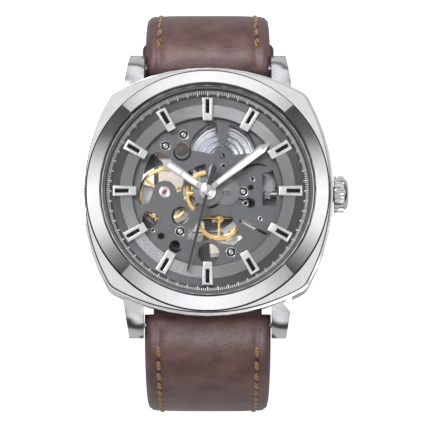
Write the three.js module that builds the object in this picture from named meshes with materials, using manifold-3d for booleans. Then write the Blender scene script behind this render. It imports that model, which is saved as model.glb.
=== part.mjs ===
// A skeleton automatic wristwatch: cushion case, two-piece leather strap with a pin buckle, and a
// going train behind an open dial. Millimetres. The origin is the middle of the case back's outer
// face. +X points to 3 o'clock, +Y to 12 o'clock and +Z from the case back to the crystal.
import * as THREE from "three";
import { mergeVertices } from "three/addons/utils/BufferGeometryUtils.js";
import Module from "manifold-3d";

const wasm = await Module();
wasm.setup();

// ---- Driving dimensions ----
const GAP = 0.05; // seating and running clearance between neighbouring pieces
const TURN = 2 * Math.PI;
const ROUND = 40; // sides of every large circle, the same on neighbours so that they seat

const CASE = { half: 21.5, sideRadius: 33, cornerRadius: 3, bottom: 1.4, top: 9.2, chamfer: 1.6 };
const BEZEL = {
  rim: 0.4,
  ringInset: 0.2,
  ringWidth: 2.45,
  edgeTop: 10.2,
  innerTop: 11.9,
  slope: 0.62,
  facetOffset: 5.1,
  summit: 13.2,
};
const CRYSTAL = { bottom: 10.95, top: 12.45, bevel: 0.3, gasket: 0.25 };
const CHAPTER = { width: 1.5, bottom: 8.84, inner: 9.12, lip: 0.4 };
const DIAL = { bottom: 8.5, base: 8.8, top: 8.95, width: 4.6, raised: 2.2, under: 0.45 };
const MARKER = { length: 4.05, outer: 1.85, inner: 1.55, top: 9.55, inset: 0.2 };
const SLOT = { width: 0.66, length: 2.3, inset: 0.4 };
const MOVEMENT = { radius: 14, bridgeBottom: 3.3, bridgeTop: 4.1, plateBottom: 6.9, plateTop: 7.9 };
const HOLDER = { bottom: 2.85, clearance: 0.05 };
// Radii of the case back's steps, as distances out from the case's bore
const BACK = { flange: 2.25, neck: 0.85, opening: -1.85, glass: -1.15, glassDepth: 1.2, neckTop: 2.7 };
const LUG = { gap: 22, width: 3.4, tipWidth: 2.45, reach: 3.2, root: 6.5, top: 8.3, tipHeight: 3.6 };
const BAR = { inset: 2.25, height: 3, radius: 0.9, tip: 0.4, tipLength: 0.75 };
const STEM = { height: 5.3, radius: 0.45, inner: 8.6 };
const CROWN = { radius: 3.15, root: 2.9, grip: 1.65, dome: 0.8, domeRadius: 2.75, ribs: 20, gap: 0.25 };
const TUBE = { outer: 1.3, inner: 0.55, reach: 1.2 };
const STRAP = {
  sideGap: 0.15,
  tipWidth: 20,
  lugThickness: 4,
  thickness: 2.6,
  tailThickness: 2.2,
  taper: 25,
  bow: 11.4,
  drop: 20.5,
};
const SHORT = { length: 70, inward: 22, depth: 30 };
const LONG = { length: 110, inward: 24, depth: 41.4 };
const PUNCH = { count: 6, pitch: 6, first: 22, radius: 0.95 };
const BUCKLE = { barRadius: 0.7, arm: 1.7, side: 0.3, thickness: 1.8, reach: 9.5, front: 2.1, back: 1.2 };
const TONGUE = { width: 1.8, thickness: 1, ring: 1.3, slot: 0.25 };
const KEEPER = { wall: 0.9, length: 5, tail: 2.4, slack: 0.5, side: 0.4 };
const FIXED_KEEPER = 9.5; // from the buckle bar back along the strap
const FREE_KEEPER = 26;

// ---- The train: tooth counts and the places that follow from them ----
const TRAIN = { distance: 4.5, third: -1.125 };
const CENTRE = { teeth: 64, pinion: 8 };
const THIRD = { teeth: 60, pinion: 8 };
const FOURTH = { teeth: 60, pinion: 8, module: 0.129 };
const ESCAPE = { teeth: 15, pinion: 6, radius: 1.95 };
const BARREL = { teeth: 48, x: 2.5, y: 6.3, wall: 0.3, bottom: 4.75, top: 6.15, floor: 0.2 };
const MOTION = { distance: 3.2, cannon: 10, minute: 30, minutePinion: 8, hour: 32 };
const WINDING = { module: 0.24, ratchet: 22, crownWheel: 33, direction: -0.54, pinion: 12 };
const BALANCE = { x: -7.36, y: 0, radius: 4.6, rim: 0.5, hub: 0.9 };
const FORK = { fromEscape: 2.3, toBalance: 2.7 };
const HANDS = { hour: 9.7, minute: 13.6, second: 14.3, tail: 4.5, tailWidth: 1.3 };

// ---- Small helpers ----
const point = (x, y) => new THREE.Vector2(x, y);
const polar = (radius, angle, x = 0, y = 0) =>
  point(x + radius * Math.cos(angle), y + radius * Math.sin(angle));

function arc(radius, from, to, steps, x = 0, y = 0) {
  return Array.from({ length: steps + 1 }, (_, i) => polar(radius, from + ((to - from) * i) / steps, x, y));
}

function circle(radius, count, x = 0, y = 0) {
  return arc(radius, 0, TURN, count, x, y).slice(0, count);
}

function sector(inner, outer, from, to, steps, x = 0, y = 0) {
  return [...arc(outer, from, to, steps, x, y), ...arc(inner, to, from, steps, x, y)];
}

function plate(outline, bottom, top, holes = []) {
  const shape = new THREE.Shape(outline);
  shape.holes = holes.map((hole) => new THREE.Path(hole));
  const body = new THREE.ExtrudeGeometry(shape, { depth: top - bottom, bevelEnabled: false });
  return body.translate(0, 0, bottom);
}

function turned(profile, segments) {
  // A profile of [radius, height] pairs, anticlockwise, turned about Z
  const loop = [...profile, profile[0]].map(([radius, height]) => point(radius, height));
  return new THREE.LatheGeometry(loop, segments).rotateX(Math.PI / 2);
}

const ring = (inner, outer, bottom, top, segments) =>
  turned([[inner, bottom], [outer, bottom], [outer, top], [inner, top]], segments);

const drum = (radius, bottom, top, count, x = 0, y = 0) => plate(circle(radius, count, x, y), bottom, top);

const SIDEWAYS = new THREE.Matrix4().makeBasis(
  new THREE.Vector3(0, 1, 0),
  new THREE.Vector3(0, 0, 1),
  new THREE.Vector3(1, 0, 0),
);
// A shape drawn in (Y, Z) and extruded along X
const across = (outline, from, to, holes = []) => plate(outline, from, to, holes).applyMatrix4(SIDEWAYS);

function box(x0, x1, y0, y1, z0, z1) {
  const body = new THREE.BoxGeometry(x1 - x0, y1 - y0, z1 - z0);
  return body.translate((x0 + x1) / 2, (y0 + y1) / 2, (z0 + z1) / 2);
}

function solid(geometry) {
  const bare = geometry.clone();
  bare.deleteAttribute("normal");
  bare.deleteAttribute("uv");
  const merged = mergeVertices(bare, 1e-4);
  return new wasm.Manifold(
    new wasm.Mesh({
      numProp: 3,
      vertProperties: new Float32Array(merged.attributes.position.array),
      triVerts: new Uint32Array(merged.index.array),
    }),
  );
}

function surface(manifold) {
  const mesh = manifold.getMesh();
  const geometry = new THREE.BufferGeometry();
  geometry.setAttribute("position", new THREE.BufferAttribute(new Float32Array(mesh.vertProperties), 3));
  geometry.setIndex(new THREE.BufferAttribute(new Uint32Array(mesh.triVerts), 1));
  geometry.computeVertexNormals();
  return geometry;
}

const joined = (...pieces) => pieces.map(solid).reduce((whole, piece) => whole.add(piece));
const cut = (whole, ...cutters) => cutters.map(solid).reduce((left, cutter) => left.subtract(cutter), whole);

// ---- Materials ----
const metal = (color, roughness) => new THREE.MeshStandardMaterial({ color, roughness, metalness: 1 });
const plain = (color, roughness) => new THREE.MeshStandardMaterial({ color, roughness, metalness: 0 });
const POLISHED = metal(0xd9dadd, 0.1);
const BRUSHED = metal(0xb4b6ba, 0.35);
const GUNMETAL = metal(0x6a6c70, 0.45);
const GILT = metal(0xd8a54a, 0.25);
const BLUED = metal(0x5c6a86, 0.3);
const RUBBER = plain(0x141414, 0.8);
const LEATHER = plain(0x5c4648, 0.65);
const RUBY = plain(0xa01838, 0.15);
const GLASS = plain(0xffffff, 0.02);
GLASS.transparent = true;
GLASS.opacity = 0.2;

const watch = new THREE.Group();

function part(name, geometry, material, parent = watch) {
  const mesh = new THREE.Mesh(geometry, material);
  mesh.name = name;
  parent.add(mesh);
  return mesh;
}

function placed(x, y, z = 0, turn = 0) {
  const group = new THREE.Group();
  group.position.set(x, y, z);
  group.rotation.z = turn;
  watch.add(group);
  return group;
}

// ---- Derived sizes of the head ----
const ringOuter = CASE.half - BEZEL.rim - BEZEL.ringInset;
const opening = ringOuter - BEZEL.ringWidth;
const crystalRadius = opening - CRYSTAL.gasket;
const chapterOuter = crystalRadius - CRYSTAL.gasket;
const chapterInner = chapterOuter - CHAPTER.width;
const dialOuter = chapterOuter - DIAL.under;
const dialInner = dialOuter - DIAL.width;
const bore = chapterOuter - 1.8;
const back = {
  flange: bore + BACK.flange,
  neck: bore + BACK.neck,
  opening: bore + BACK.opening,
  glass: bore + BACK.glass,
};
const barY = CASE.half + LUG.reach - BAR.inset;
const barZ = BAR.height;
const strapWidth = LUG.gap - 2 * STRAP.sideGap;

function cushion(half, corner) {
  // Four long side arcs joined by small corner arcs
  const offset = CASE.sideRadius - CASE.half;
  const side = half + offset;
  const inside = side - corner;
  const q = (-offset + Math.sqrt(2 * inside * inside - offset * offset)) / 2;
  const meet = Math.atan2(q, q + offset);
  const outline = [];
  for (let quarter = 0; quarter < 4; quarter += 1) {
    const turn = (quarter * TURN) / 4;
    const run = [
      ...arc(side, -meet, meet, 10, -offset, 0),
      ...arc(corner, meet, TURN / 4 - meet, 3, q, q).slice(1, 3),
    ];
    outline.push(...run.map((p) => p.rotateAround(point(0, 0), turn)));
  }
  return outline;
}

// ---- Case ----
function lug(side, end) {
  const tip = CASE.half + LUG.reach;
  const root = CASE.half - LUG.root;
  const profile = new THREE.Shape();
  profile.moveTo(root, CASE.bottom + 0.8);
  profile.lineTo(barY - 3, 1.2);
  profile.lineTo(tip - 1.4, 0.6);
  profile.quadraticCurveTo(tip, 0.7, tip, LUG.tipHeight);
  profile.quadraticCurveTo(tip - 1.6, LUG.top - 0.2, root + 2.5, LUG.top);
  profile.lineTo(root, LUG.top);
  const rail = across(profile.getPoints(6), LUG.gap / 2, LUG.gap / 2 + LUG.width);
  const inner = LUG.gap / 2;
  const taper = [
    point(inner, root - 1),
    point(inner + LUG.width, root - 1),
    point(inner + LUG.width, barY - 3.5),
    point(inner + LUG.tipWidth, tip + 0.2),
    point(inner, tip + 0.2),
  ];
  const lower = solid(rail).intersect(solid(plate(taper, 0, CASE.top)));
  return lower.scale([side, end, 1]);
}

function caseMiddle() {
  const height = CASE.top - CASE.bottom;
  const shell = new THREE.ExtrudeGeometry(new THREE.Shape(cushion(CASE.half, CASE.cornerRadius)), {
    depth: height,
    bevelThickness: CASE.chamfer,
    bevelSize: CASE.chamfer,
    bevelOffset: -CASE.chamfer,
    bevelSegments: 1,
  }).translate(0, 0, CASE.bottom + CASE.chamfer);
  const far = 2 * CASE.half;
  let body = cut(solid(shell), box(-far, far, -far, far, CASE.top, CASE.top + far));
  for (const side of [1, -1]) for (const end of [1, -1]) body = body.add(lug(side, end));
  const holderTop = DIAL.bottom - GAP;
  body = cut(
    body,
    drum(bore, 0, CASE.top + 1, ROUND),
    drum(chapterOuter + GAP, holderTop, CASE.top + 1, ROUND),
    drum(back.neck + 2 * GAP, 0, HOLDER.bottom - GAP, ROUND),
    across(circle(TUBE.outer + GAP, 12, 0, STEM.height), CASE.half - 8, CASE.half + 2),
  );
  const notch = barY - 3.45;
  for (const end of [1, -1]) {
    const near = end > 0 ? notch : -far;
    const away = end > 0 ? far : -notch;
    body = cut(
      body,
      box(-LUG.gap / 2, LUG.gap / 2, near, away, -1, 7),
      across(circle(BAR.tip + GAP, 10, end * barY, barZ), -LUG.gap / 2 - 0.9, LUG.gap / 2 + 0.9),
    );
  }
  return surface(body);
}

function bezel() {
  const base = plate(cushion(CASE.half - BEZEL.rim, CASE.cornerRadius), CASE.top + GAP, BEZEL.edgeTop);
  let crest = solid(drum(ringOuter, CASE.top + GAP, BEZEL.summit, ROUND));
  const foot = opening + (BEZEL.innerTop - CASE.top) / BEZEL.slope + BEZEL.facetOffset;
  const head = foot - (BEZEL.summit - CASE.top) / BEZEL.slope;
  const facet = turned([[0, CASE.top], [foot, CASE.top], [head, BEZEL.summit], [0, BEZEL.summit]], ROUND);
  for (let side = 0; side < 4; side += 1) {
    const away = polar(BEZEL.facetOffset, (side * TURN) / 4 + TURN / 2);
    crest = crest.intersect(solid(facet).translate([away.x, away.y, 0]));
  }
  const body = cut(
    solid(base).add(crest),
    drum(chapterOuter + GAP, CASE.top, BEZEL.summit + 1, ROUND),
    drum(opening, CRYSTAL.bottom - GAP, BEZEL.summit + 1, ROUND),
  );
  return surface(body);
}

function crystal() {
  const { bottom, top, bevel } = CRYSTAL;
  const r = crystalRadius;
  return turned([[0, bottom], [r, bottom], [r, top - bevel], [r - bevel, top], [0, top]], ROUND);
}

part("case_middle", caseMiddle(), POLISHED);
part("bezel", bezel(), POLISHED);
part("crystal", crystal(), GLASS);
part(
  "crystal_gasket",
  ring(crystalRadius + 0.02, opening - 0.02, CRYSTAL.bottom, CRYSTAL.top - 0.6, ROUND),
  RUBBER,
);
part(
  "chapter_ring",
  turned(
    [
      [chapterInner, CHAPTER.bottom],
      [chapterOuter, CHAPTER.bottom],
      [chapterOuter, CRYSTAL.bottom - 2 * GAP],
      [chapterOuter - CHAPTER.lip, CRYSTAL.bottom - 2 * GAP],
      [chapterOuter - CHAPTER.lip - 0.1, CHAPTER.inner + 0.7],
      [chapterInner, CHAPTER.inner],
    ],
    ROUND,
  ),
  GUNMETAL,
);
part(
  "dial_ring",
  turned(
    [
      [dialInner, DIAL.bottom],
      [dialOuter, DIAL.bottom],
      [dialOuter, DIAL.base],
      [dialInner + DIAL.raised, DIAL.base],
      [dialInner + DIAL.raised, DIAL.top],
      [dialInner, DIAL.top],
    ],
    ROUND,
  ),
  GUNMETAL,
);

// ---- Hour markers ----
function marker() {
  const far = chapterInner - MARKER.inset;
  const near = far - MARKER.length;
  const outline = [
    point(-MARKER.inner / 2, near),
    point(MARKER.inner / 2, near),
    point(MARKER.outer / 2, far),
    point(-MARKER.outer / 2, far),
  ];
  const end = far - SLOT.inset;
  const half = SLOT.width / 2;
  const slot = [
    point(-half, end - SLOT.length),
    point(half, end - SLOT.length),
    point(half, end),
    point(-half, end),
  ];
  return plate(outline, DIAL.top + 0.02, MARKER.top, [slot]);
}

for (let hour = 1; hour <= 12; hour += 1) {
  part(`hour_marker_${hour}`, marker(), POLISHED, placed(0, 0, 0, (-hour * TURN) / 12));
}

// ---- Case back ----
part(
  "case_back_ring",
  turned(
    [
      [back.glass + GAP, 0],
      [back.flange - 0.4, 0],
      [back.flange, 0.4],
      [back.flange, CASE.bottom - GAP],
      [back.neck, CASE.bottom - GAP],
      [back.neck, BACK.neckTop],
      [back.opening, BACK.neckTop],
      [back.opening, BACK.glassDepth + GAP],
      [back.glass + GAP, BACK.glassDepth + GAP],
    ],
    ROUND,
  ),
  BRUSHED,
);
part("case_back_glass", drum(back.glass, 0, BACK.glassDepth, ROUND), GLASS);
part("movement_holder", movementHolder(), BRUSHED);

function movementHolder() {
  const body = ring(MOVEMENT.radius + GAP, bore - GAP, HOLDER.bottom, DIAL.bottom - GAP * 2, ROUND);
  const passage = across(circle(TUBE.outer + GAP, 12, 0, STEM.height), MOVEMENT.radius - 1, bore + 1);
  return surface(cut(solid(body), passage));
}

// ---- Crown, tube and stem, turned about X ----
const crownStart = CASE.half + CROWN.gap;
const crownEnd = crownStart + CROWN.grip;

function crown() {
  const outline = [];
  for (let rib = 0; rib < CROWN.ribs; rib += 1) {
    const middle = (rib * TURN) / CROWN.ribs;
    const step = TURN / CROWN.ribs;
    outline.push(polar(CROWN.root, middle - 0.32 * step), polar(CROWN.radius, middle - 0.18 * step));
    outline.push(polar(CROWN.radius, middle + 0.18 * step), polar(CROWN.root, middle + 0.32 * step));
  }
  const cap = turned(
    [
      [0, -0.3],
      [CROWN.domeRadius, -0.3],
      [CROWN.domeRadius, 0.1],
      [CROWN.domeRadius * 0.85, CROWN.dome * 0.75],
      [CROWN.domeRadius * 0.5, CROWN.dome],
      [0, CROWN.dome],
    ],
    24,
  );
  const whole = joined(plate(outline, 0, CROWN.grip), cap.translate(0, 0, CROWN.grip));
  const recess = drum(TUBE.outer + 0.15, -1, TUBE.reach, 16);
  return surface(cut(whole, recess)).applyMatrix4(SIDEWAYS);
}

const crownMesh = part("crown", crown(), POLISHED);
crownMesh.position.set(crownStart, 0, STEM.height);
const tube = part(
  "crown_tube",
  ring(TUBE.inner, TUBE.outer, bore + 0.3, crownStart + TUBE.reach - 0.15, 16).applyMatrix4(SIDEWAYS),
  BRUSHED,
);
tube.position.z = STEM.height;
const stem = part(
  "winding_stem",
  drum(STEM.radius, STEM.inner, crownStart + TUBE.reach - GAP, 12).applyMatrix4(SIDEWAYS),
  BRUSHED,
);
stem.position.z = STEM.height;

// ---- Gears ----
const ADDENDUM = 0.9; // tooth height above the pitch circle, in modules
const DEDENDUM = 1.2;

function teeth(count, module, phase = 0) {
  // A wheel's pointed teeth
  const pitch = (count * module) / 2;
  const step = TURN / count;
  const outline = [];
  for (let tooth = 0; tooth < count; tooth += 1) {
    outline.push(polar(pitch + ADDENDUM * module, phase + tooth * step));
    outline.push(polar(pitch - DEDENDUM * module, phase + (tooth + 0.5) * step));
  }
  return outline;
}

function leaves(count, module, phase = 0) {
  // A pinion's slimmer leaves
  const pitch = (count * module) / 2;
  const step = TURN / count;
  const outline = [];
  for (let leaf = 0; leaf < count; leaf += 1) {
    const at = phase + leaf * step;
    outline.push(polar(pitch - DEDENDUM * module, at - 0.27 * step));
    outline.push(polar(pitch + ADDENDUM * module, at));
    outline.push(polar(pitch - DEDENDUM * module, at + 0.27 * step));
  }
  return outline;
}

function crossings(count, inner, outer, spoke, phase = 0) {
  const windows = [];
  for (let i = 0; i < count; i += 1) {
    const from = phase + (i * TURN) / count;
    const to = from + TURN / count;
    windows.push([
      ...arc(outer, from + spoke / 2 / outer, to - spoke / 2 / outer, 5),
      ...arc(inner, to - spoke / 2 / inner, from + spoke / 2 / inner, 2),
    ]);
  }
  return windows;
}

const towards = (from, to) => Math.atan2(to.y - from.y, to.x - from.x);
// The phase that puts a gap, not a tooth, on the line back to the driving gear
const gapFacing = (angle, count) => angle + Math.PI + Math.PI / count;

const middle = point(0, 0);
const thirdAt = polar(TRAIN.distance, TRAIN.third);
const centreModule = (2 * TRAIN.distance) / (CENTRE.teeth + THIRD.pinion);
const thirdModule = (2 * TRAIN.distance) / (THIRD.teeth + FOURTH.pinion);
const barrelAt = point(BARREL.x, BARREL.y);
const barrelModule = (2 * barrelAt.length()) / (BARREL.teeth + CENTRE.pinion);
const balanceAt = point(BALANCE.x, BALANCE.y);
const escapeDistance = ((FOURTH.teeth + ESCAPE.pinion) * FOURTH.module) / 2;
const escapeAt = escapePlace();
const forkAt = escapeAt.clone().lerp(balanceAt, FORK.fromEscape / (FORK.fromEscape + FORK.toBalance));

function escapePlace() {
  // In mesh with the fourth wheel, and in line with the fork and the balance
  const reach = FORK.fromEscape + FORK.toBalance;
  const far = balanceAt.length();
  const angle = Math.acos((far ** 2 + escapeDistance ** 2 - reach ** 2) / (2 * far * escapeDistance));
  return polar(escapeDistance, balanceAt.angle() + angle);
}

function centreWheel() {
  const module = centreModule;
  const wheel = plate(
    teeth(CENTRE.teeth, module, towards(middle, thirdAt)),
    6.3,
    6.5,
    crossings(4, 1.3, 3.3, 0.5),
  );
  const facing = gapFacing(barrelAt.angle() + Math.PI, CENTRE.pinion);
  const pinion = plate(leaves(CENTRE.pinion, barrelModule, facing), 5.75, 6.4);
  const pipe = drum(0.3, 6.4, 9, 10);
  return surface(cut(joined(wheel, pinion, pipe), drum(0.18, 5, 10, 8)));
}

function thirdWheel() {
  const back = towards(thirdAt, middle);
  const wheel = plate(teeth(THIRD.teeth, thirdModule, back), 5.42, 5.58, crossings(4, 0.9, 3.25, 0.45));
  const pinion = plate(leaves(THIRD.pinion, centreModule, back + Math.PI / THIRD.pinion), 5.5, 6.6);
  return surface(joined(wheel, pinion, drum(0.16, 3.6, 7.4, 8)));
}

function fourthWheel() {
  const wheel = plate(
    teeth(FOURTH.teeth, FOURTH.module, towards(middle, escapeAt)),
    4.3,
    4.45,
    crossings(4, 0.9, 3.3, 0.45),
  );
  const phase = thirdAt.angle() + Math.PI / FOURTH.pinion;
  const pinion = plate(leaves(FOURTH.pinion, thirdModule, phase), 4.4, 5.65);
  return surface(joined(wheel, pinion, drum(0.12, 3.6, 10.45, 8)));
}

function escapeWheel() {
  const outline = [];
  const step = TURN / ESCAPE.teeth;
  for (let tooth = 0; tooth < ESCAPE.teeth; tooth += 1) {
    const at = tooth * step;
    outline.push(polar(ESCAPE.radius * 0.72, at - 0.1), polar(ESCAPE.radius, at + 0.02));
    outline.push(polar(ESCAPE.radius, at + 0.07), polar(ESCAPE.radius * 0.72, at + 0.12));
  }
  const wheel = plate(outline, 4.6, 4.75, crossings(4, 0.45, 1.15, 0.25));
  const back = towards(escapeAt, middle);
  const pinion = plate(leaves(ESCAPE.pinion, FOURTH.module, back + Math.PI / ESCAPE.pinion), 4.25, 4.65);
  return surface(joined(wheel, pinion, drum(0.14, 3.6, 6.1, 8)));
}

part("centre_wheel", centreWheel(), GILT);
part("third_wheel", thirdWheel(), GILT, placed(thirdAt.x, thirdAt.y));
part("fourth_wheel", fourthWheel(), GILT);
part("escape_wheel", escapeWheel(), GILT, placed(escapeAt.x, escapeAt.y));

// ---- Pallet fork: drawn with the balance in +X, its arbor at the origin ----
function palletFork() {
  const lever = [
    point(-0.25, 0.25),
    point(-1.15, 1.15),
    point(-1.35, 0.95),
    point(-0.55, 0),
    point(-1.35, -0.95),
    point(-1.15, -1.15),
    point(-0.25, -0.25),
    point(1.6, -0.1),
    point(1.95, -0.28),
    point(2.25, -0.28),
    point(2.05, -0.12),
    point(2.05, 0.12),
    point(2.25, 0.28),
    point(1.95, 0.28),
    point(1.6, 0.1),
  ];
  return surface(joined(plate(lever, 4.85, 4.97), drum(0.14, 3.6, 5.0, 8)));
}

const forkTurn = towards(forkAt, balanceAt);
part("pallet_fork", palletFork(), BRUSHED, placed(forkAt.x, forkAt.y, 0, forkTurn));

// ---- Balance, hairspring, barrel and mainspring ----
function balanceWheel() {
  const { radius, rim, hub } = BALANCE;
  const wheel = plate(circle(radius, 36), 5.1, 5.5, crossings(3, hub, radius - rim, 0.5, 0.4));
  const roller = drum(0.5, 5.02, 5.2, 12);
  return surface(joined(wheel, roller, drum(0.14, 4.2, 6.8, 8)));
}

function spiral(from, to, turns, wide, steps) {
  const line = (shift) =>
    Array.from({ length: steps + 1 }, (_, i) =>
      polar(from + ((to - from) * i) / steps + shift, (turns * TURN * i) / steps),
    );
  return [...line(wide / 2), ...line(-wide / 2).reverse()];
}

const barrelRoot = (BARREL.teeth * barrelModule) / 2 - DEDENDUM * barrelModule;

function barrelDrum() {
  const outer = barrelRoot - 0.15;
  const rim = plate(
    teeth(BARREL.teeth, barrelModule, barrelAt.angle() + Math.PI),
    BARREL.top - 0.35,
    BARREL.top,
  );
  const cup = drum(outer, BARREL.bottom, BARREL.top - 0.2, 36);
  const hollow = drum(outer - BARREL.wall, BARREL.bottom + BARREL.floor, BARREL.top + 1, 36);
  return surface(cut(joined(rim, cup), hollow, drum(0.45, 0, 10, 12)));
}

const springRadius = barrelRoot - 0.15 - BARREL.wall - 0.12;
part("balance_wheel", balanceWheel(), GILT, placed(BALANCE.x, BALANCE.y));
part("hairspring", plate(spiral(0.45, 2.4, 4, 0.09, 52), 5.85, 6.05), BLUED, placed(BALANCE.x, BALANCE.y));
part("barrel_drum", barrelDrum(), BRUSHED, placed(BARREL.x, BARREL.y));
part(
  "mainspring",
  plate(spiral(1.05, springRadius - 0.15, 4, 0.22, 56), BARREL.bottom + BARREL.floor + GAP, BARREL.top - 0.3),
  BRUSHED,
  placed(BARREL.x, BARREL.y),
);
part(
  "barrel_arbor",
  surface(joined(drum(0.38, 3.6, 7.6, 12), drum(0.85, 5.05, 5.8, 12))),
  BRUSHED,
  placed(BARREL.x, BARREL.y),
);

// ---- Winding work on the back of the barrel ----
const windingReach = ((WINDING.ratchet + WINDING.crownWheel) * WINDING.module) / 2;
const crownWheelAt = polar(windingReach, WINDING.direction, BARREL.x, BARREL.y);
const ratchet = teeth(WINDING.ratchet, WINDING.module, WINDING.direction);
part("ratchet_wheel", plate(ratchet, 4.25, 4.5, [circle(0.42, 12)]), BRUSHED, placed(BARREL.x, BARREL.y));
part(
  "crown_wheel",
  plate(
    teeth(WINDING.crownWheel, WINDING.module, gapFacing(WINDING.direction, WINDING.crownWheel)),
    4.25,
    4.5,
    [circle(1.2, 16)],
  ),
  BRUSHED,
  placed(crownWheelAt.x, crownWheelAt.y),
);
const windingPinion = part(
  "winding_pinion",
  plate(leaves(WINDING.pinion, 0.105), 9.7, 10.8, [circle(STEM.radius + GAP, 12)]).applyMatrix4(SIDEWAYS),
  BRUSHED,
);
windingPinion.position.z = STEM.height;

function click() {
  const pawl = [point(-0.5, 0.3), point(-0.5, -0.3), point(1.55, -0.45), point(1.7, -0.2), point(0.4, 0.5)];
  return surface(cut(joined(plate(pawl, 4.25, 4.5), drum(0.6, 4.25, 4.5, 12)), drum(0.25, 4, 5, 8)));
}

const clickAt = polar(WINDING.ratchet * WINDING.module * 0.5 + 2.05, 2.5, BARREL.x, BARREL.y);
part("click", click(), BRUSHED, placed(clickAt.x, clickAt.y, 0, 2.5 + Math.PI));

// ---- Motion work on the dial side ----
const motionModule = (2 * MOTION.distance) / (MOTION.cannon + MOTION.minute);
part(
  "cannon_pinion",
  surface(
    cut(
      joined(plate(leaves(MOTION.cannon, motionModule), 7.97, 8.15), drum(0.5, 8, 10, 12)),
      drum(0.33, 7, 11, 10),
    ),
  ),
  BRUSHED,
);
part(
  "minute_wheel",
  surface(
    joined(
      plate(teeth(MOTION.minute, motionModule, Math.PI / MOTION.minute), 7.98, 8.12, [circle(0.2, 8)]),
      plate(leaves(MOTION.minutePinion, motionModule), 8.05, 8.4, [circle(0.2, 8)]),
    ),
  ),
  GILT,
  placed(MOTION.distance, 0),
);
part(
  "hour_wheel",
  surface(
    cut(
      joined(
        plate(teeth(MOTION.hour, motionModule, Math.PI / MOTION.hour), 8.22, 8.36),
        drum(0.8, 8.3, 9.2, 16),
      ),
      drum(0.55, 8, 10, 12),
    ),
  ),
  GILT,
);

// ---- Main plate, bridge, cock and jewel ----
function mainPlate() {
  const { radius, plateBottom: low, plateTop: high } = MOVEMENT;
  const window = (outline) => plate(outline, low - 1, high + 1);
  const pad = arc(2.05, Math.PI, 0, 6, BALANCE.x, BALANCE.y);
  const balanceWindow = [
    point(-8.3, 7.2),
    point(-9.8, 6.5),
    point(-10.8, 4.1),
    point(-11.7, 0.8),
    point(-11.9, -1.9),
    point(-10.2, -2.1),
    ...pad,
    point(-4.6, 0.2),
    point(-4.1, 2.1),
    point(-4.5, 3.8),
    point(-6.6, 6.2),
  ];
  const lowerWindow = [
    point(-0.4, -4),
    point(4.1, -4.15),
    point(5.9, -7.9),
    point(4.4, -9.2),
    point(2, -8.8),
    point(0.9, -8.1),
    point(-1.5, -8.6),
    point(-3.6, -8.2),
    point(-3.3, -6.4),
    point(-2.1, -5.5),
  ];
  const keylessWindow = [
    point(9.4, -2.3),
    point(11.7, -2.3),
    point(12, 1.2),
    point(11.2, 3.8),
    point(9.4, 3.2),
  ];
  const springSlot = [point(5.3, -5.1), point(10, -7.5), point(10.2, -7.1), point(5.5, -4.7)];
  const fan = (from, to) => window(sector(1.6, 5.6, from, to, 8, BARREL.x, BARREL.y));
  const body = cut(
    solid(drum(radius, low, high, 64)),
    window(balanceWindow),
    window(lowerWindow),
    window(keylessWindow),
    window(springSlot),
    fan(1.75, 2.95),
    fan(0.1, 1.35),
    window(sector(2.4, 4.2, 2.75, 4.05, 6)),
    window(sector(2.4, 4.9, 1.65, 2.4, 5)),
    window(sector(2.3, 2.9, 4.6, 5.6, 4)),
    window(circle(0.6, 12)),
    window(circle(0.5, 12, BARREL.x, BARREL.y)),
    window(circle(0.22, 8, thirdAt.x, thirdAt.y)),
    window(circle(0.5, 8, BALANCE.x, BALANCE.y)),
    window(circle(1.83, 20, 0.2, -10.6)),
    window(circle(1.4, 16, -4.55, -4.15)),
    window(circle(1.3, 16, -9.7, -4.75)),
    window(circle(1.25, 16, -4.45, 7.5)),
    window(circle(0.5, 10, 5.9, -0.1)),
    window(circle(0.5, 10, 7.4, 0.8)),
    window(circle(0.85, 14, 7.3, -1.9)),
    window(circle(0.6, 12, -8, -7.6)),
    window(circle(0.9, 14, -5.6, -9.2)),
  );
  return surface(body);
}

const COCK = { half: 2.3, inner: 12.1, outer: 13.7 };

function trainBridge() {
  const { radius, bridgeBottom: low, bridgeTop: high, plateBottom } = MOVEMENT;
  const window = (outline) => plate(outline, low - 1, high + 1);
  const post = [2.1, 3.93, 5.24, 5.93].map((angle) => {
    const at = polar(12.8, angle);
    return drum(0.8, low + 0.4, plateBottom - GAP, 12, at.x, at.y);
  });
  const body = cut(
    joined(drum(radius, low, high, 64), ...post),
    window(circle(5.3, 32, BALANCE.x, BALANCE.y)),
    window(sector(11, radius + 1, Math.PI - 0.22, Math.PI + 0.22, 4)),
    window(sector(4.6, 8.4, 3.98, 4.6, 6)),
    window(sector(6.2, 10.8, 4.75, 5.75, 6)),
    window(sector(8.6, 11.6, 1.75, 2.5, 6)),
    window(sector(2.2, 4.8, 4.9, 6.0, 5)),
    window(circle(0.2, 8)),
    window(circle(0.46, 12, BARREL.x, BARREL.y)),
    window(circle(0.22, 8, thirdAt.x, thirdAt.y)),
    window(circle(0.2, 8, escapeAt.x, escapeAt.y)),
    window(circle(0.2, 8, forkAt.x, forkAt.y)),
  );
  return surface(body);
}

function balanceCock() {
  const { bridgeBottom: low, bridgeTop: high, plateBottom } = MOVEMENT;
  const arm = [
    point(-COCK.outer, -COCK.half),
    point(-COCK.inner, -COCK.half),
    point(BALANCE.x - 0.6, BALANCE.y - 1),
    ...arc(1.15, -1.2, 1.2, 6, BALANCE.x, BALANCE.y),
    point(BALANCE.x - 0.6, BALANCE.y + 1),
    point(-COCK.inner, COCK.half),
    point(-COCK.outer, COCK.half),
  ];
  const foot = box(-COCK.outer + 0.2, -COCK.inner, -1.6, 1.6, low + 0.4, plateBottom - GAP);
  return surface(joined(plate(arm, low, high), foot));
}

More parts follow.
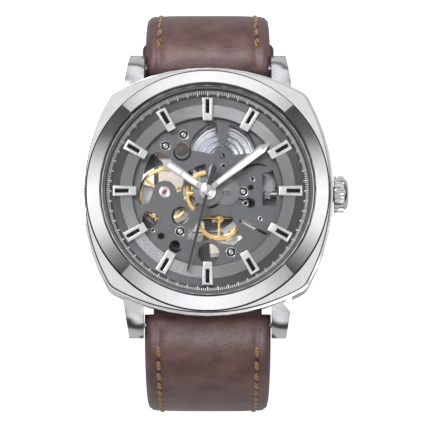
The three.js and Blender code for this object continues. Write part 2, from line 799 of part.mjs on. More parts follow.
part("main_plate", mainPlate(), GUNMETAL);
part("train_bridge", trainBridge(), BRUSHED);
part("balance_cock", balanceCock(), BRUSHED);
part(
  "balance_jewel",
  surface(joined(drum(0.45, 6.95, 8.1, 12), drum(0.9, MOVEMENT.plateTop + 0.02, 8.1, 20))),
  RUBY,
  placed(BALANCE.x, BALANCE.y),
);

// ---- Rotor ----
function rotor() {
  const wing = [...arc(13.4, Math.PI, TURN, 20), ...arc(3, 0, Math.PI, 8)];
  const rim = sector(11, 13.4, Math.PI + 0.05, TURN - 0.05, 14);
  const windows = [0, 1, 2].map((i) => {
    const from = Math.PI + 0.25 + i * 0.92;
    return plate(sector(4.2, 10, from, from + 0.8, 4), 2, 3);
  });
  const body = joined(plate(wing, 2.55, 2.85), plate(rim, 1.75, 2.7));
  return surface(cut(body, ...windows, drum(1.65, 1, 4, 16)));
}

part("rotor", rotor(), BRUSHED);
part("rotor_bearing", drum(1.55, 2.3, MOVEMENT.bridgeBottom - GAP, 16), POLISHED);

// ---- Hands: drawn towards 12 and turned to show about eight minutes past ten ----
function hand(length, wide, hub, hole, bottom, top) {
  const half = wide / 2;
  const blade = [
    point(-half * 0.6, 0),
    point(half * 0.6, 0),
    point(half, length * 0.87),
    point(0, length),
    point(-half, length * 0.87),
  ];
  const body = joined(plate(blade, bottom, top), drum(hub, bottom, top, 20));
  return surface(cut(body, drum(hole, bottom - 1, top + 1, 12)));
}

function secondHand() {
  const end = HANDS.tailWidth / 2;
  const needle = [
    point(-0.3, 0),
    ...arc(end, Math.PI, TURN, 6, 0, end - HANDS.tail),
    point(0.3, 0),
    point(0.2, HANDS.second),
    point(-0.2, HANDS.second),
  ];
  return surface(cut(joined(plate(needle, 10.2, 10.38), drum(0.95, 10.2, 10.38, 20)), drum(0.14, 10, 11, 8)));
}

const CLOCK = { hours: 10, minutes: 8.7, seconds: 32.3 };
const hourTurn = (-(CLOCK.hours + CLOCK.minutes / 60) * TURN) / 12;
const minuteTurn = (-CLOCK.minutes * TURN) / 60;
const secondTurn = (-(CLOCK.seconds) * TURN) / 60;
part("hour_hand", hand(HANDS.hour, 1.6, 1.45, 0.84, 8.96, 9.16), POLISHED, placed(0, 0, 0, hourTurn));
part("minute_hand", hand(HANDS.minute, 1.4, 1.1, 0.54, 9.72, 9.92), POLISHED, placed(0, 0, 0, minuteTurn));
part("second_hand", secondHand(), POLISHED, placed(0, 0, 0, secondTurn));

// ---- Strap: a path in (Y, Z) that leaves the spring bar, bows out and curls in below ----
function strapPath({ length, inward, depth }) {
  const { bow, drop } = STRAP;
  const path = new THREE.CurvePath();
  path.add(new THREE.EllipseCurve(barY, barZ - drop, bow, drop, Math.PI / 2, 0, true));
  path.add(new THREE.EllipseCurve(barY + bow - inward, barZ - drop, inward, depth, 0, -Math.PI / 2, true));
  const rest = length - path.getLength();
  const low = point(barY + bow - inward, barZ - drop - depth);
  path.add(new THREE.LineCurve(low, point(low.x - rest, low.y)));
  return path;
}

function stationAt(path, along) {
  // The point at a distance along the path, and the angle of its outward normal
  const t = along / path.getLength();
  const at = path.getPoint(t);
  const ahead = path.getPoint(Math.min(1, t + 0.002));
  const behind = path.getPoint(Math.max(0, t - 0.002));
  const forward = ahead.sub(behind).normalize();
  return { at, normal: point(-forward.y, forward.x) };
}

function strapOutline(path, endThickness, roundEnd) {
  // Even in thickness along the straight end, so that the tail lies flat
  const length = path.getLength();
  const curved = path.curves[0].getLength() + path.curves[1].getLength();
  const steps = 36;
  const outer = [];
  const inner = [];
  for (let i = 0; i <= steps; i += 1) {
    const along = (length * i) / steps;
    const thin = Math.min(1, along / STRAP.taper);
    const late = Math.min(1, along / curved);
    const body = STRAP.thickness + (endThickness - STRAP.thickness) * late;
    const thick = STRAP.lugThickness + (body - STRAP.lugThickness) * thin;
    const { at, normal } = stationAt(path, along);
    outer.push(at.clone().addScaledVector(normal, thick / 2));
    inner.push(at.clone().addScaledVector(normal, -thick / 2));
  }
  const { at } = stationAt(path, length);
  const cap = roundEnd ? arc(endThickness / 2, -Math.PI / 2, -1.5 * Math.PI, 6, at.x, at.y).slice(1, 6) : [];
  const heel = arc(STRAP.lugThickness / 2, 1.5 * Math.PI, Math.PI / 2, 8, barY, barZ).slice(1, 8);
  return [...outer, ...cap, ...inner.reverse(), ...heel];
}

function strapWidths(lowest) {
  // The taper seen from the front, as a prism along Y
  const high = barZ + STRAP.lugThickness;
  const wide = strapWidth / 2;
  const slim = STRAP.tipWidth / 2;
  const outline = [point(high, -wide), point(high, wide), point(lowest, slim), point(lowest, -slim)];
  const turn = new THREE.Matrix4().makeBasis(
    new THREE.Vector3(0, 0, 1),
    new THREE.Vector3(1, 0, 0),
    new THREE.Vector3(0, 1, 0),
  );
  return plate(outline, -2 * CASE.half, 2 * CASE.half).applyMatrix4(turn);
}

const TUCK = { side: 1.55, depth: 1.1, low: -1.3, high: 1.3 };

function strapHalf(path, endThickness, roundEnd) {
  const wide = strapWidth / 2;
  const lowest = barZ - STRAP.drop - LONG.depth - STRAP.thickness;
  const band = solid(across(strapOutline(path, endThickness, roundEnd), -wide, wide));
  const inboard = barY - STRAP.lugThickness / 2;
  const low = barZ + TUCK.low;
  const half = wide - TUCK.side;
  const tuck = box(-half, half, inboard - TUCK.depth, inboard + 1, low, barZ + TUCK.high);
  const whole = band.add(solid(tuck)).intersect(solid(strapWidths(lowest)));
  return cut(whole, across(circle(BAR.radius + GAP, 14, barY, barZ), -wide - 1, wide + 1));
}

const shortPath = strapPath(SHORT);
const longPath = strapPath(LONG);
const buckleBar = shortPath.getPoint(1);

function strapTwelve() {
  const body = strapHalf(shortPath, STRAP.thickness, true);
  const gapHalf = TONGUE.width / 2 + TONGUE.slot;
  const { x: y, y: z } = buckleBar;
  return surface(
    cut(
      body,
      across(circle(BUCKLE.barRadius + GAP, 12, y, z), -strapWidth, strapWidth),
      box(-gapHalf, gapHalf, y - 3, y + 4, z - 4, z + 4),
    ),
  );
}

function strapSix() {
  const body = strapHalf(longPath, STRAP.tailThickness, false);
  const tip = longPath.getPoint(1);
  const wide = STRAP.tipWidth;
  const slim = STRAP.tipWidth / 2;
  const plan = [
    point(-wide, tip.x + 200),
    point(-wide, tip.x + 8),
    point(-slim, tip.x + 8),
    ...arc(slim, Math.PI, TURN, 12, 0, tip.x + 8).map((p) => point(p.x, tip.x + 8 + (p.y - tip.x - 8) * 0.8)),
    point(slim, tip.x + 8),
    point(wide, tip.x + 8),
    point(wide, tip.x + 200),
  ];
  const rounded = body.intersect(solid(plate(plan, tip.y - 5, barZ + 10)));
  const holes = Array.from({ length: PUNCH.count }, (_, i) => {
    const { at, normal } = stationAt(longPath, LONG.length - PUNCH.first - i * PUNCH.pitch);
    const punch = drum(PUNCH.radius, -3, 3, 12).rotateX(Math.atan2(-normal.x, normal.y));
    return punch.translate(0, at.x, at.y);
  });
  return surface(cut(rounded, ...holes));
}

const sixHalf = placed(0, 0, 0, Math.PI);
part("strap_12", strapTwelve(), LEATHER);
part("strap_6", strapSix(), LEATHER, sixHalf);

function springBar() {
  const end = LUG.gap / 2 + BAR.tipLength;
  const shoulder = LUG.gap / 2 - 0.15;
  return turned(
    [
      [0, -end],
      [BAR.tip, -end],
      [BAR.tip, -shoulder],
      [BAR.radius, -shoulder],
      [BAR.radius, shoulder],
      [BAR.tip, shoulder],
      [BAR.tip, end],
      [0, end],
    ],
    14,
  ).applyMatrix4(SIDEWAYS);
}

for (const [name, end] of [["spring_bar_12", 1], ["spring_bar_6", -1]]) {
  part(name, springBar(), BRUSHED).position.set(0, end * barY, barZ);
}

// ---- Buckle, on the short half; drawn about its bar, with its front towards -Y ----
const buckle = placed(0, buckleBar.x, buckleBar.y);
const frameInner = STRAP.tipWidth / 2 + BUCKLE.side + 0.25;
const frameOuter = frameInner + BUCKLE.arm;

function buckleFrame() {
  const { reach, front, back, thickness } = BUCKLE;
  const outline = [
    point(-frameOuter, back),
    point(-frameOuter, -reach + 1.5),
    point(-frameOuter + 1.5, -reach),
    point(frameOuter - 1.5, -reach),
    point(frameOuter, -reach + 1.5),
    point(frameOuter, back),
    point(frameInner, back),
    point(frameInner, -reach + front),
    point(-frameInner, -reach + front),
    point(-frameInner, back),
  ];
  const body = solid(plate(outline, -thickness / 2, thickness / 2));
  return surface(cut(body, across(circle(0.45, 10), -frameInner - 1, frameInner + 1)));
}

function buckleTongue() {
  const { width, thickness, ring: loop } = TONGUE;
  const under = -BUCKLE.thickness / 2 - 0.1;
  const arm = [
    point(-0.9, 0.5),
    point(-0.9, -0.8),
    point(-BUCKLE.reach + BUCKLE.front + 0.6, under - thickness),
    point(-BUCKLE.reach + 0.2, under - thickness),
    point(-BUCKLE.reach + 0.2, under),
    point(-BUCKLE.reach + BUCKLE.front + 0.6, under),
  ];
  const body = joined(across(arm, -width / 2, width / 2), across(circle(loop, 16), -width / 2, width / 2));
  return surface(cut(body, across(circle(BUCKLE.barRadius + GAP, 12), -width, width)));
}

function barOfBuckle() {
  const end = frameInner + 0.8;
  const shoulder = frameInner - 0.1;
  const { barRadius } = BUCKLE;
  return turned(
    [
      [0, -end],
      [0.4, -end],
      [0.4, -shoulder],
      [barRadius, -shoulder],
      [barRadius, shoulder],
      [0.4, shoulder],
      [0.4, end],
      [0, end],
    ],
    12,
  ).applyMatrix4(SIDEWAYS);
}

part("buckle_frame", buckleFrame(), POLISHED, buckle);
part("buckle_bar", barOfBuckle(), BRUSHED, buckle);
part("buckle_tongue", buckleTongue(), POLISHED, buckle);

// ---- Keepers: loops round the short half with room for the tail on the outer side ----
function keeper() {
  const inner = strapWidth / 2 + KEEPER.side;
  const high = STRAP.thickness / 2 + KEEPER.tail;
  const low = -STRAP.thickness / 2 - KEEPER.slack;
  const wall = KEEPER.wall;
  const outline = [
    point(-inner - wall, low - wall),
    point(inner + wall, low - wall),
    point(inner + wall, high + wall),
    point(-inner - wall, high + wall),
  ];
  const room = [point(-inner, low), point(inner, low), point(inner, high), point(-inner, high)];
  return plate(outline, -KEEPER.length / 2, KEEPER.length / 2, [room]);
}

for (const [name, back] of [["fixed_keeper", FIXED_KEEPER], ["free_keeper", FREE_KEEPER]]) {
  const { at, normal } = stationAt(shortPath, SHORT.length - back);
  const loop = part(name, keeper(), LEATHER);
  loop.position.set(0, at.x, at.y);
  loop.rotation.x = Math.atan2(normal.y, normal.x);
}

export default watch;
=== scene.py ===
"""A skeleton wristwatch on an open leather strap: the visual model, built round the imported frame."""

import math

import bmesh
import bpy
import numpy as np
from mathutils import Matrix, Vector


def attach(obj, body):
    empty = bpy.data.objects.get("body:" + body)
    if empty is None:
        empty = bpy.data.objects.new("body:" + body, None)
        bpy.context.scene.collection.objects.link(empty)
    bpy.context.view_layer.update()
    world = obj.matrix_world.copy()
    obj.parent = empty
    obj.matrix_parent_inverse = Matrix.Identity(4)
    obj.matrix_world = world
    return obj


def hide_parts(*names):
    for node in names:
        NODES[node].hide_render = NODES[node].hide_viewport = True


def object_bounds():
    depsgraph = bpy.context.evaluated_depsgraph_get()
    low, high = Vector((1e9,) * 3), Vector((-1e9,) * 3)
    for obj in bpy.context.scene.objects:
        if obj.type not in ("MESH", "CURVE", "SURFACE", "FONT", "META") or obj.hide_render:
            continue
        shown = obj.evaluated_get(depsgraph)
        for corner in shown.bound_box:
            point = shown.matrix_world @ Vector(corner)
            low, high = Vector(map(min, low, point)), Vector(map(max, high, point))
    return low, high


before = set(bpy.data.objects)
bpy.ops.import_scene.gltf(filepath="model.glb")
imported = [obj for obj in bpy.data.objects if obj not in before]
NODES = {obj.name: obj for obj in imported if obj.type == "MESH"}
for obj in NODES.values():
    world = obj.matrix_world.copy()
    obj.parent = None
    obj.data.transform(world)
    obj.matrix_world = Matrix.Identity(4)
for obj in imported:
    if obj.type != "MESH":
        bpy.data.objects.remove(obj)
CAD_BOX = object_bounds()

MM = 0.001
TURN = 2 * math.pi
WELD_GAP = 0.000002  # metres

# ---- Sizes, in millimetres, as in the CAD model ----
CASE_OFFSET = 11.5  # from the dial's centre to the centre of each long side arc
CORNER = 3.0
BEZEL = {
    "half": 21.1, "inner": 18.0, "opening": 18.45, "ring": 20.8, "low": 9.25, "ledge": 10.2, "seat": 10.9,
    "foot_bevel": 0.12, "ledge_bevel": 0.2, "least_ledge": 0.32, "groove": 0.11, "groove_depth": 0.14,
    "rim_bevel": (0.14, 0.03), "lip_bevel": (0.1, 0.14), "facet_rows": 7, "segments": 360,
}
# The groove between the raised ring and the ledge is drawn in near-black steel: painted shade along the
# groove.
SHADED_GROOVE_FACES = (5, 6, 7)
FACET = {"offset": 5.1, "slope": 0.62, "foot": 27.905, "base": 9.2}
CRYSTAL = {"radius": 18.2, "low": 10.95, "top": 12.45, "bevel": 0.1, "chamfer": 0.35}
CHAPTER = {"inner": 16.45, "outer": 17.95, "low": 8.84, "foot": 9.12, "lip": 9.82, "top": 10.85, "wall": 0.6}
TRACK = {"ticks": 300, "inner": 16.78, "outer": 17.28, "half": 0.058, "sunk": 0.02}
MINUTE_TICK = {"every": 5, "inner": 16.5, "half": 0.085}
DIAL = {"inner": 12.9, "raised": 15.1, "outer": 17.5, "low": 8.5, "base": 8.8, "top": 8.95}
MARKER_SLOT = {"near": 13.6, "far": 15.8, "half": 0.3, "low": 9.0, "high": 9.3}
INLAY_DEPTH = 0.1
AXIS = 0.001  # a solid disc's profile starts this close to its axis
BAR = (22.45, 3.0)  # Y and Z of the spring bar at 12 o'clock
STRAP = {"wide": 10.85, "slim": 10.0, "lug": 4.0, "body": 2.6, "tail": 2.2, "taper": 25.0, "bow": 11.4}
STRAP_DROP = 20.5
SKIN = {"proud": 0.04, "thin": 0.02, "rows": 150}  # how the finer skin differs from the CAD strap
TONGUE = {"length": 8.0, "least": 1.6, "thin": 0.75, "thinning": 4.0}
NARROW = {"section": 5.6, "squeeze": 6.0}  # below these half widths the section is squeezed, not cut
LUG_END = ((0.2, 1.9), (0.5, 1.65), (0.82, 1.1), (0.97, 0.5))  # share of the thickness, distance back
BLUNT_END = ((0.54, 0.86), (0.9, 0.5))  # distance on, share of the thickness
SHORT = {"length": 70.0, "inward": 22.0, "depth": 30.0}
LONG = {"length": 110.0, "inward": 24.0, "depth": 41.4}
PUNCH = {"count": 6, "pitch": 6.0, "first": 22.0, "radius": 0.95}
BORE = {"lug": 0.95, "buckle": 0.75, "reach": 13.0, "depth": 4.0}
TONGUE_SLOT = {"half": 1.15, "back": 3.0, "ahead": 4.0, "depth": 4.0}
TUCK = {"inset": 1.55, "near": 1.08, "far": 0.9, "half": 1.28, "corner": 0.35, "corner_drop": 0.28}
KEEPERS = {"fixed_keeper": ("strap_12", 9.5), "free_keeper": ("keeper", 26.0)}
KEEPER = {"half": 12.11, "high": 4.56, "low": -2.66, "wall": 0.82, "corner": 1.5, "corner_rows": 6}
KEEPER_RIM = {"flat": 2.2, "shoulder": 2.46, "crown": 2.5, "depth": 0.12}
HOUR_TURN = -(10 + 8.7 / 60) * TURN / 12
MINUTE_TURN = -8.7 * TURN / 60
BALANCE_AT = (-7.36, 0.0)


# ---- Material nodes ----
def material(name, color, metallic, roughness, **sockets):
    mat = bpy.data.materials.new(name)
    mat.use_nodes = True
    shader = mat.node_tree.nodes["Principled BSDF"]
    shader.inputs["Base Color"].default_value = (*color, 1)
    shader.inputs["Metallic"].default_value = metallic
    shader.inputs["Roughness"].default_value = roughness
    for socket, value in sockets.items():
        shader.inputs[socket.replace("_", " ")].default_value = value
    mat.diffuse_color = (*color, 1)
    return mat


def add(mat, kind, **settings):
    node = mat.node_tree.nodes.new("ShaderNode" + kind)
    for key, value in settings.items():
        if key in node.inputs:
            node.inputs[key].default_value = value
        else:
            setattr(node, key, value)
    return node


def link(mat, source, target):
    mat.node_tree.links.new(source, target)


def calculate(mat, operation, *values):
    """A Math node, whose inputs are sockets or plain numbers."""
    node = add(mat, "Math", operation=operation)
    for slot, value in zip(node.inputs, values):
        if isinstance(value, bpy.types.NodeSocket):
            link(mat, value, slot)
        else:
            slot.default_value = value
    return node.outputs[0]


def shader_of(mat):
    return mat.node_tree.nodes["Principled BSDF"]


def coordinates(mat, scale=(1, 1, 1)):
    """Object coordinates in metres, stretched by scale."""
    place = add(mat, "TexCoord")
    mapping = add(mat, "Mapping")
    mapping.inputs["Scale"].default_value = scale
    link(mat, place.outputs["Object"], mapping.inputs["Vector"])
    return mapping.outputs["Vector"]


def polar_coordinates(mat, centre, rings, spokes):
    """Radius and angle about a centre in the XY plane, for grain that runs in circles or in rays."""
    place = add(mat, "TexCoord")
    shift = add(mat, "VectorMath", operation="SUBTRACT")
    shift.inputs[1].default_value = (centre[0] * MM, centre[1] * MM, 0)
    link(mat, place.outputs["Object"], shift.inputs[0])
    split = add(mat, "SeparateXYZ")
    link(mat, shift.outputs["Vector"], split.inputs[0])
    flat = add(mat, "CombineXYZ")
    link(mat, split.outputs["X"], flat.inputs["X"])
    link(mat, split.outputs["Y"], flat.inputs["Y"])
    radius = add(mat, "VectorMath", operation="LENGTH")
    link(mat, flat.outputs[0], radius.inputs[0])
    angle = calculate(mat, "ARCTAN2", split.outputs["Y"], split.outputs["X"])
    join = add(mat, "CombineXYZ")
    link(mat, calculate(mat, "MULTIPLY", radius.outputs["Value"], rings), join.inputs["X"])
    link(mat, calculate(mat, "MULTIPLY", angle, spokes), join.inputs["Y"])
    return join.outputs[0]


def noise(mat, vector, scale=1.0, detail=4.0, rough=0.6):
    node = add(mat, "TexNoise", Scale=scale, Detail=detail, Roughness=rough)
    link(mat, vector, node.inputs["Vector"])
    return node.outputs["Fac"]


def tint(mat, factor, dark, light, low=0.3, high=0.7):
    """A colour between dark and light, into the base colour."""
    ramp = add(mat, "ValToRGB")
    ramp.color_ramp.elements[0].position = low
    ramp.color_ramp.elements[1].position = high
    ramp.color_ramp.elements[0].color = (*dark, 1)
    ramp.color_ramp.elements[1].color = (*light, 1)
    link(mat, factor, ramp.inputs["Fac"])
    link(mat, ramp.outputs["Color"], shader_of(mat).inputs["Base Color"])


def vary_roughness(mat, factor, low, high):
    spread = add(mat, "MapRange")
    spread.inputs["To Min"].default_value = low
    spread.inputs["To Max"].default_value = high
    link(mat, factor, spread.inputs["Value"])
    link(mat, spread.outputs["Result"], shader_of(mat).inputs["Roughness"])


def bump(mat, height, strength, distance, under=None):
    node = add(mat, "Bump", Strength=strength, Distance=distance)
    link(mat, height, node.inputs["Height"])
    if under is not None:
        link(mat, under, node.inputs["Normal"])
    link(mat, node.outputs["Normal"], shader_of(mat).inputs["Normal"])
    return node.outputs["Normal"]


def shaded(color, factor):
    return tuple(min(1.0, channel * factor) for channel in color)


def polished(name, color, roughness=0.07):
    """Mirror finish with faint hairlines and smudges."""
    mat = material(name, color, 1.0, roughness)
    smudge = noise(mat, coordinates(mat), 350, 5)
    vary_roughness(mat, smudge, roughness * 0.7, roughness * 1.6)
    tint(mat, smudge, shaded(color, 0.94), shaded(color, 1.04))
    hairline = noise(mat, coordinates(mat, (1500, 9000, 9000)), 1, 2)
    bump(mat, hairline, 0.02, 0.00002)
    return mat


def grained(name, color, vector_of, roughness=0.3, contrast=0.16, depth=0.25):
    """Satin finish: fine lines along the direction that vector_of gives."""
    mat = material(name, color, 1.0, roughness)
    line = noise(mat, vector_of(mat), 1, 3, 0.7)
    tint(mat, line, shaded(color, 1 - contrast), shaded(color, 1 + contrast))
    vary_roughness(mat, line, roughness * 0.75, roughness * 1.35)
    bump(mat, line, depth, 0.00003)
    return mat


def brushed(name, color, scale, **more):
    return grained(name, color, lambda mat: coordinates(mat, scale), **more)


def turned_grain(name, color, centre=(0, 0), rings=14000, spokes=3, **more):
    return grained(name, color, lambda mat: polar_coordinates(mat, centre, rings, spokes), **more)


def circular(name, color, rings, roughness):
    """Sunk circular brushing, which draws its highlights out into a bow-tie."""
    mat = turned_grain(name, color, rings=rings, roughness=roughness, contrast=0.07, depth=0.06)
    shader_of(mat).inputs["Anisotropic"].default_value = 0.75
    around = add(mat, "Tangent", direction_type="RADIAL", axis="Z")
    link(mat, around.outputs["Tangent"], shader_of(mat).inputs["Tangent"])
    return mat


def leather(name, dark, light):
    mat = material(name, light, 0.0, 0.45, Specular_IOR_Level=0.24)
    place = coordinates(mat)
    cloud = noise(mat, place, 260, 6, 0.65)
    tint(mat, cloud, dark, light, 0.32, 0.68)
    pebble = add(mat, "TexVoronoi", feature="DISTANCE_TO_EDGE", Scale=1500)
    link(mat, place, pebble.inputs["Vector"])
    pores = noise(mat, place, 4200, 4, 0.7)
    vary_roughness(mat, pores, 0.26, 0.5)
    grain = bump(mat, pebble.outputs["Distance"], 0.5, 0.0001)
    bump(mat, pores, 0.45, 0.00008, grain)
    return mat


def thread(name, dark, light):
    mat = material(name, light, 0.0, 0.7, Sheen_Weight=0.3)
    twist = add(mat, "TexWave", Scale=900, Distortion=1.5, bands_direction="DIAGONAL")
    link(mat, coordinates(mat), twist.inputs["Vector"])
    tint(mat, twist.outputs["Fac"], dark, light)
    bump(mat, twist.outputs["Fac"], 0.6, 0.00006)
    return mat


def lacquer(name, color, roughness=0.45, scale=3000, gloss=0.5):
    mat = material(name, color, 0.0, roughness, Specular_IOR_Level=gloss)
    speck = noise(mat, coordinates(mat), scale, 4)
    tint(mat, speck, shaded(color, 0.9), shaded(color, 1.06))
    vary_roughness(mat, speck, roughness * 0.85, roughness * 1.2)
    bump(mat, speck, 0.08, 0.00002)
    return mat


def clear(name):
    mat = material(name, (0.93, 0.96, 0.98), 0.0, 0.02, Alpha=0.06, IOR=1.6, Transmission_Weight=1.0)
    vary_roughness(mat, noise(mat, coordinates(mat), 180, 4), 0.01, 0.035)
    return mat


def ruby(name, color):
    mat = material(name, color, 0.0, 0.06, IOR=1.76, Coat_Weight=0.6)
    tint(mat, noise(mat, coordinates(mat), 900, 3), shaded(color, 0.6), shaded(color, 1.3))
    return mat


STEEL = (0.83, 0.84, 0.86)
GREY = (0.125, 0.128, 0.134)
GOLD = (0.86, 0.6, 0.25)
M_POLISHED = polished("polished_steel", STEEL)
M_BEZEL = polished("bezel_steel", (0.9, 0.905, 0.915), 0.09)
M_SETTING = polished("setting_steel", (0.7, 0.7, 0.71), 0.1)
M_HAND = polished("hand_steel", (0.6, 0.605, 0.615), 0.14)
M_SECOND = polished("second_hand_steel", (0.085, 0.087, 0.092), 0.16)
M_MARKER = polished("marker_steel", (0.8, 0.805, 0.815), 0.12)
M_SCREW = polished("screw_steel", (0.45, 0.455, 0.465), 0.15)
M_CROWN = polished("crown_steel", (0.62, 0.625, 0.635), 0.1)
M_CHAMFER = polished("chamfer_steel", (0.62, 0.625, 0.635), 0.1)
# Near-black steel for the bezel's groove: painted shade, not a finish of its own.
M_GROOVE_SHADE = polished("painted_groove_shade", (0.03, 0.03, 0.032), 0.2)
M_SIDE = brushed("case_steel", (0.7, 0.71, 0.73), (900, 900, 16000), roughness=0.16, contrast=0.08)
M_BRUSHED = brushed("brushed_steel", (0.45, 0.455, 0.47), (16000, 900, 16000))
M_PLATE = brushed("dial_plate", GREY, (11000, 320, 11000), roughness=0.36, contrast=0.22, depth=0.3)
M_CHAPTER = turned_grain("chapter_grey", (0.12, 0.122, 0.128), roughness=0.4)
M_DIAL = circular("dial_grey", (0.27, 0.273, 0.28), 16000, 0.24)
M_DIAL_RIM = circular("dial_rim_grey", (0.1, 0.102, 0.107), 16000, 0.28)
M_GILT = turned_grain("gilt", GOLD, roughness=0.22, contrast=0.14)
# The train bridge is near-black so that the windows over it read dark: painted shade under the dial plate.
M_SHADED_BRIDGE = brushed("bridge_steel_painted_shade", (0.09, 0.092, 0.097), (9000, 500, 9000), roughness=0.3)
M_MOTION = turned_grain("motion_steel", (0.2, 0.203, 0.21), roughness=0.3)
M_DRUM = turned_grain("barrel_steel", (0.62, 0.63, 0.65), (2.5, 6.3), roughness=0.24)
M_ROTOR = turned_grain("rotor_steel", (0.7, 0.71, 0.72), rings=5000, roughness=0.25)
M_BLUED = brushed("spring_steel", (0.3, 0.33, 0.42), (5000, 5000, 300), roughness=0.25)
M_SPACER = turned_grain("spacer_metal", (0.25, 0.255, 0.26), roughness=0.4)
M_BLACK = lacquer("black_enamel", (0.006, 0.006, 0.007), 0.5, gloss=0.08)
M_GASKET = lacquer("gasket_nylon", (0.02, 0.02, 0.022), 0.6)
M_WHITE = lacquer("lume", (0.93, 0.94, 0.93), 0.55, 6000)
M_INK = lacquer("white_ink", (0.95, 0.955, 0.96), 0.5, 5000)
M_RUBY = ruby("ruby", (0.3, 0.02, 0.05))
M_CRYSTAL = clear("sapphire")
M_LEATHER = leather("calf_leather", (0.048, 0.026, 0.025), (0.09, 0.051, 0.05))
M_LINING = leather("lining_leather", (0.62, 0.56, 0.48), (0.82, 0.77, 0.69))
M_EDGE = leather("edge_paint", (0.02, 0.012, 0.012), (0.05, 0.03, 0.03))
M_THREAD = thread("tan_thread", (0.13, 0.06, 0.02), (0.42, 0.22, 0.07))


# ---- Mesh helpers: every size in millimetres ----
def mesh_object(name, verts, faces, mats, smooth=30.0):
    mesh = bpy.data.meshes.new(name)
    mesh.from_pydata([tuple(c * MM for c in v) for v in verts], [], faces)
    mesh.validate()
    obj = bpy.data.objects.new(name, mesh)
    bpy.context.scene.collection.objects.link(obj)
    for mat in mats if isinstance(mats, (list, tuple)) else [mats]:
        mesh.materials.append(mat)
    if smooth:
        mesh.polygons.foreach_set("use_smooth", [True] * len(mesh.polygons))
        mesh.set_sharp_from_angle(angle=math.radians(smooth))
    return obj


def outward(obj):
    """Turns every face of a closed mesh to point out."""
    work = bmesh.new()
    work.from_mesh(obj.data)
    bmesh.ops.recalc_face_normals(work, faces=work.faces)
    work.to_mesh(obj.data)
    work.free()
    return obj


def keep(obj, body, slot, *replaced):
    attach(obj, body)
    if replaced:
        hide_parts(*replaced)
    return obj


def skin(sections, start=0, closed=False):
    """Faces over loops of equal count; closed joins the last loop to the first, else both ends get a cap."""
    count = len(sections[0])
    faces = []
    for i in range(len(sections) if closed else len(sections) - 1):
        a = start + i * count
        b = start + (i + 1) % len(sections) * count
        for j in range(count):
            k = (j + 1) % count
            faces.append((a + j, a + k, b + k, b + j))
    if not closed:
        last = start + (len(sections) - 1) * count
        faces.append(tuple(start + j for j in reversed(range(count))))
        faces.append(tuple(last + j for j in range(count)))
    return faces


def loft(name, sections, mats, closed=False, smooth=30.0):
    verts = [v for section in sections for v in section]
    return outward(mesh_object(name, verts, skin(sections, 0, closed), mats, smooth))


def lathe(name, profile, mats, segments=160, centre=(0, 0), smooth=30.0):
    """A ring: the closed (radius, height) profile turned about a vertical axis."""
    sections = []
    for i in range(segments):
        c, s = math.cos(TURN * i / segments), math.sin(TURN * i / segments)
        sections.append([(centre[0] + r * c, centre[1] + r * s, z) for r, z in profile])
    return loft(name, sections, mats, closed=True, smooth=smooth)


def slab(name, outlines, low, high, mats, bevel=0.06, turn=0.0):
    """Flat plates with softened edges, one for each outline, in one mesh."""
    verts, faces = [], []
    c, s = math.cos(turn), math.sin(turn)
    for outline in outlines:
        ends = [[(x * c - y * s, x * s + y * c, z) for x, y in outline] for z in (low, high)]
        faces += skin(ends, len(verts))
        verts += ends[0] + ends[1]
    obj = mesh_object(name, verts, faces, mats, smooth=0)
    if bevel:
        soften(obj, bevel)
    return obj


def soften(obj, width, segments=2):
    for polygon in obj.data.polygons:
        polygon.use_smooth = True
    edge = obj.modifiers.new("soft_edges", "BEVEL")
    edge.width = width * MM
    edge.segments = segments
    edge.limit_method = "ANGLE"
    edge.angle_limit = math.radians(28)
    edge.harden_normals = True
    return obj


def refine(node, mat, width=0.08, segments=2, edge_mat=None):
    """Welds and softens a CAD node, and gives it its finish; edge_mat is for polished chamfers, or for
    painted shade along an edge.
    """
    obj = NODES[node]
    obj.data.materials.clear()
    obj.data.materials.append(mat)
    weld = obj.modifiers.new("weld", "WELD")
    weld.merge_threshold = WELD_GAP
    if not width:
        return
    soften(obj, width, segments)
    if edge_mat:
        obj.data.materials.append(edge_mat)
        obj.modifiers["soft_edges"].material = 1


# ---- Head: bezel, crystal, rings, markers ----
def cushion_radius(half, angle):
    """Distance to the cushion outline, which has four long side arcs and small corner arcs."""
    turn = (angle + TURN / 8) % (TURN / 4) - TURN / 8
    side = half + CASE_OFFSET
    inside = side - CORNER
    q = (-CASE_OFFSET + math.sqrt(2 * inside * inside - CASE_OFFSET**2)) / 2
    meet = math.atan2(q, q + CASE_OFFSET)
    edge = (side * math.cos(meet) - CASE_OFFSET, side * math.sin(meet))
    if abs(turn) <= math.atan2(edge[1], edge[0]):
        return -CASE_OFFSET * math.cos(turn) + math.sqrt(side**2 - (CASE_OFFSET * math.sin(turn)) ** 2)
    along = q * (math.cos(turn) + abs(math.sin(turn)))
    return along + math.sqrt(along**2 - 2 * q * q + CORNER**2)


def facet_height(radius, angle):
    """The bezel's top: the lowest of four cones, each set off from the centre away from its side."""
    x, y = radius * math.cos(angle), radius * math.sin(angle)
    heights = []
    for side in range(4):
        dx = math.cos(side * TURN / 4) * FACET["offset"]
        dy = math.sin(side * TURN / 4) * FACET["offset"]
        reach = math.hypot(x + dx, y + dy)
        heights.append(FACET["base"] + (FACET["foot"] - reach) * FACET["slope"])
    return min(heights)


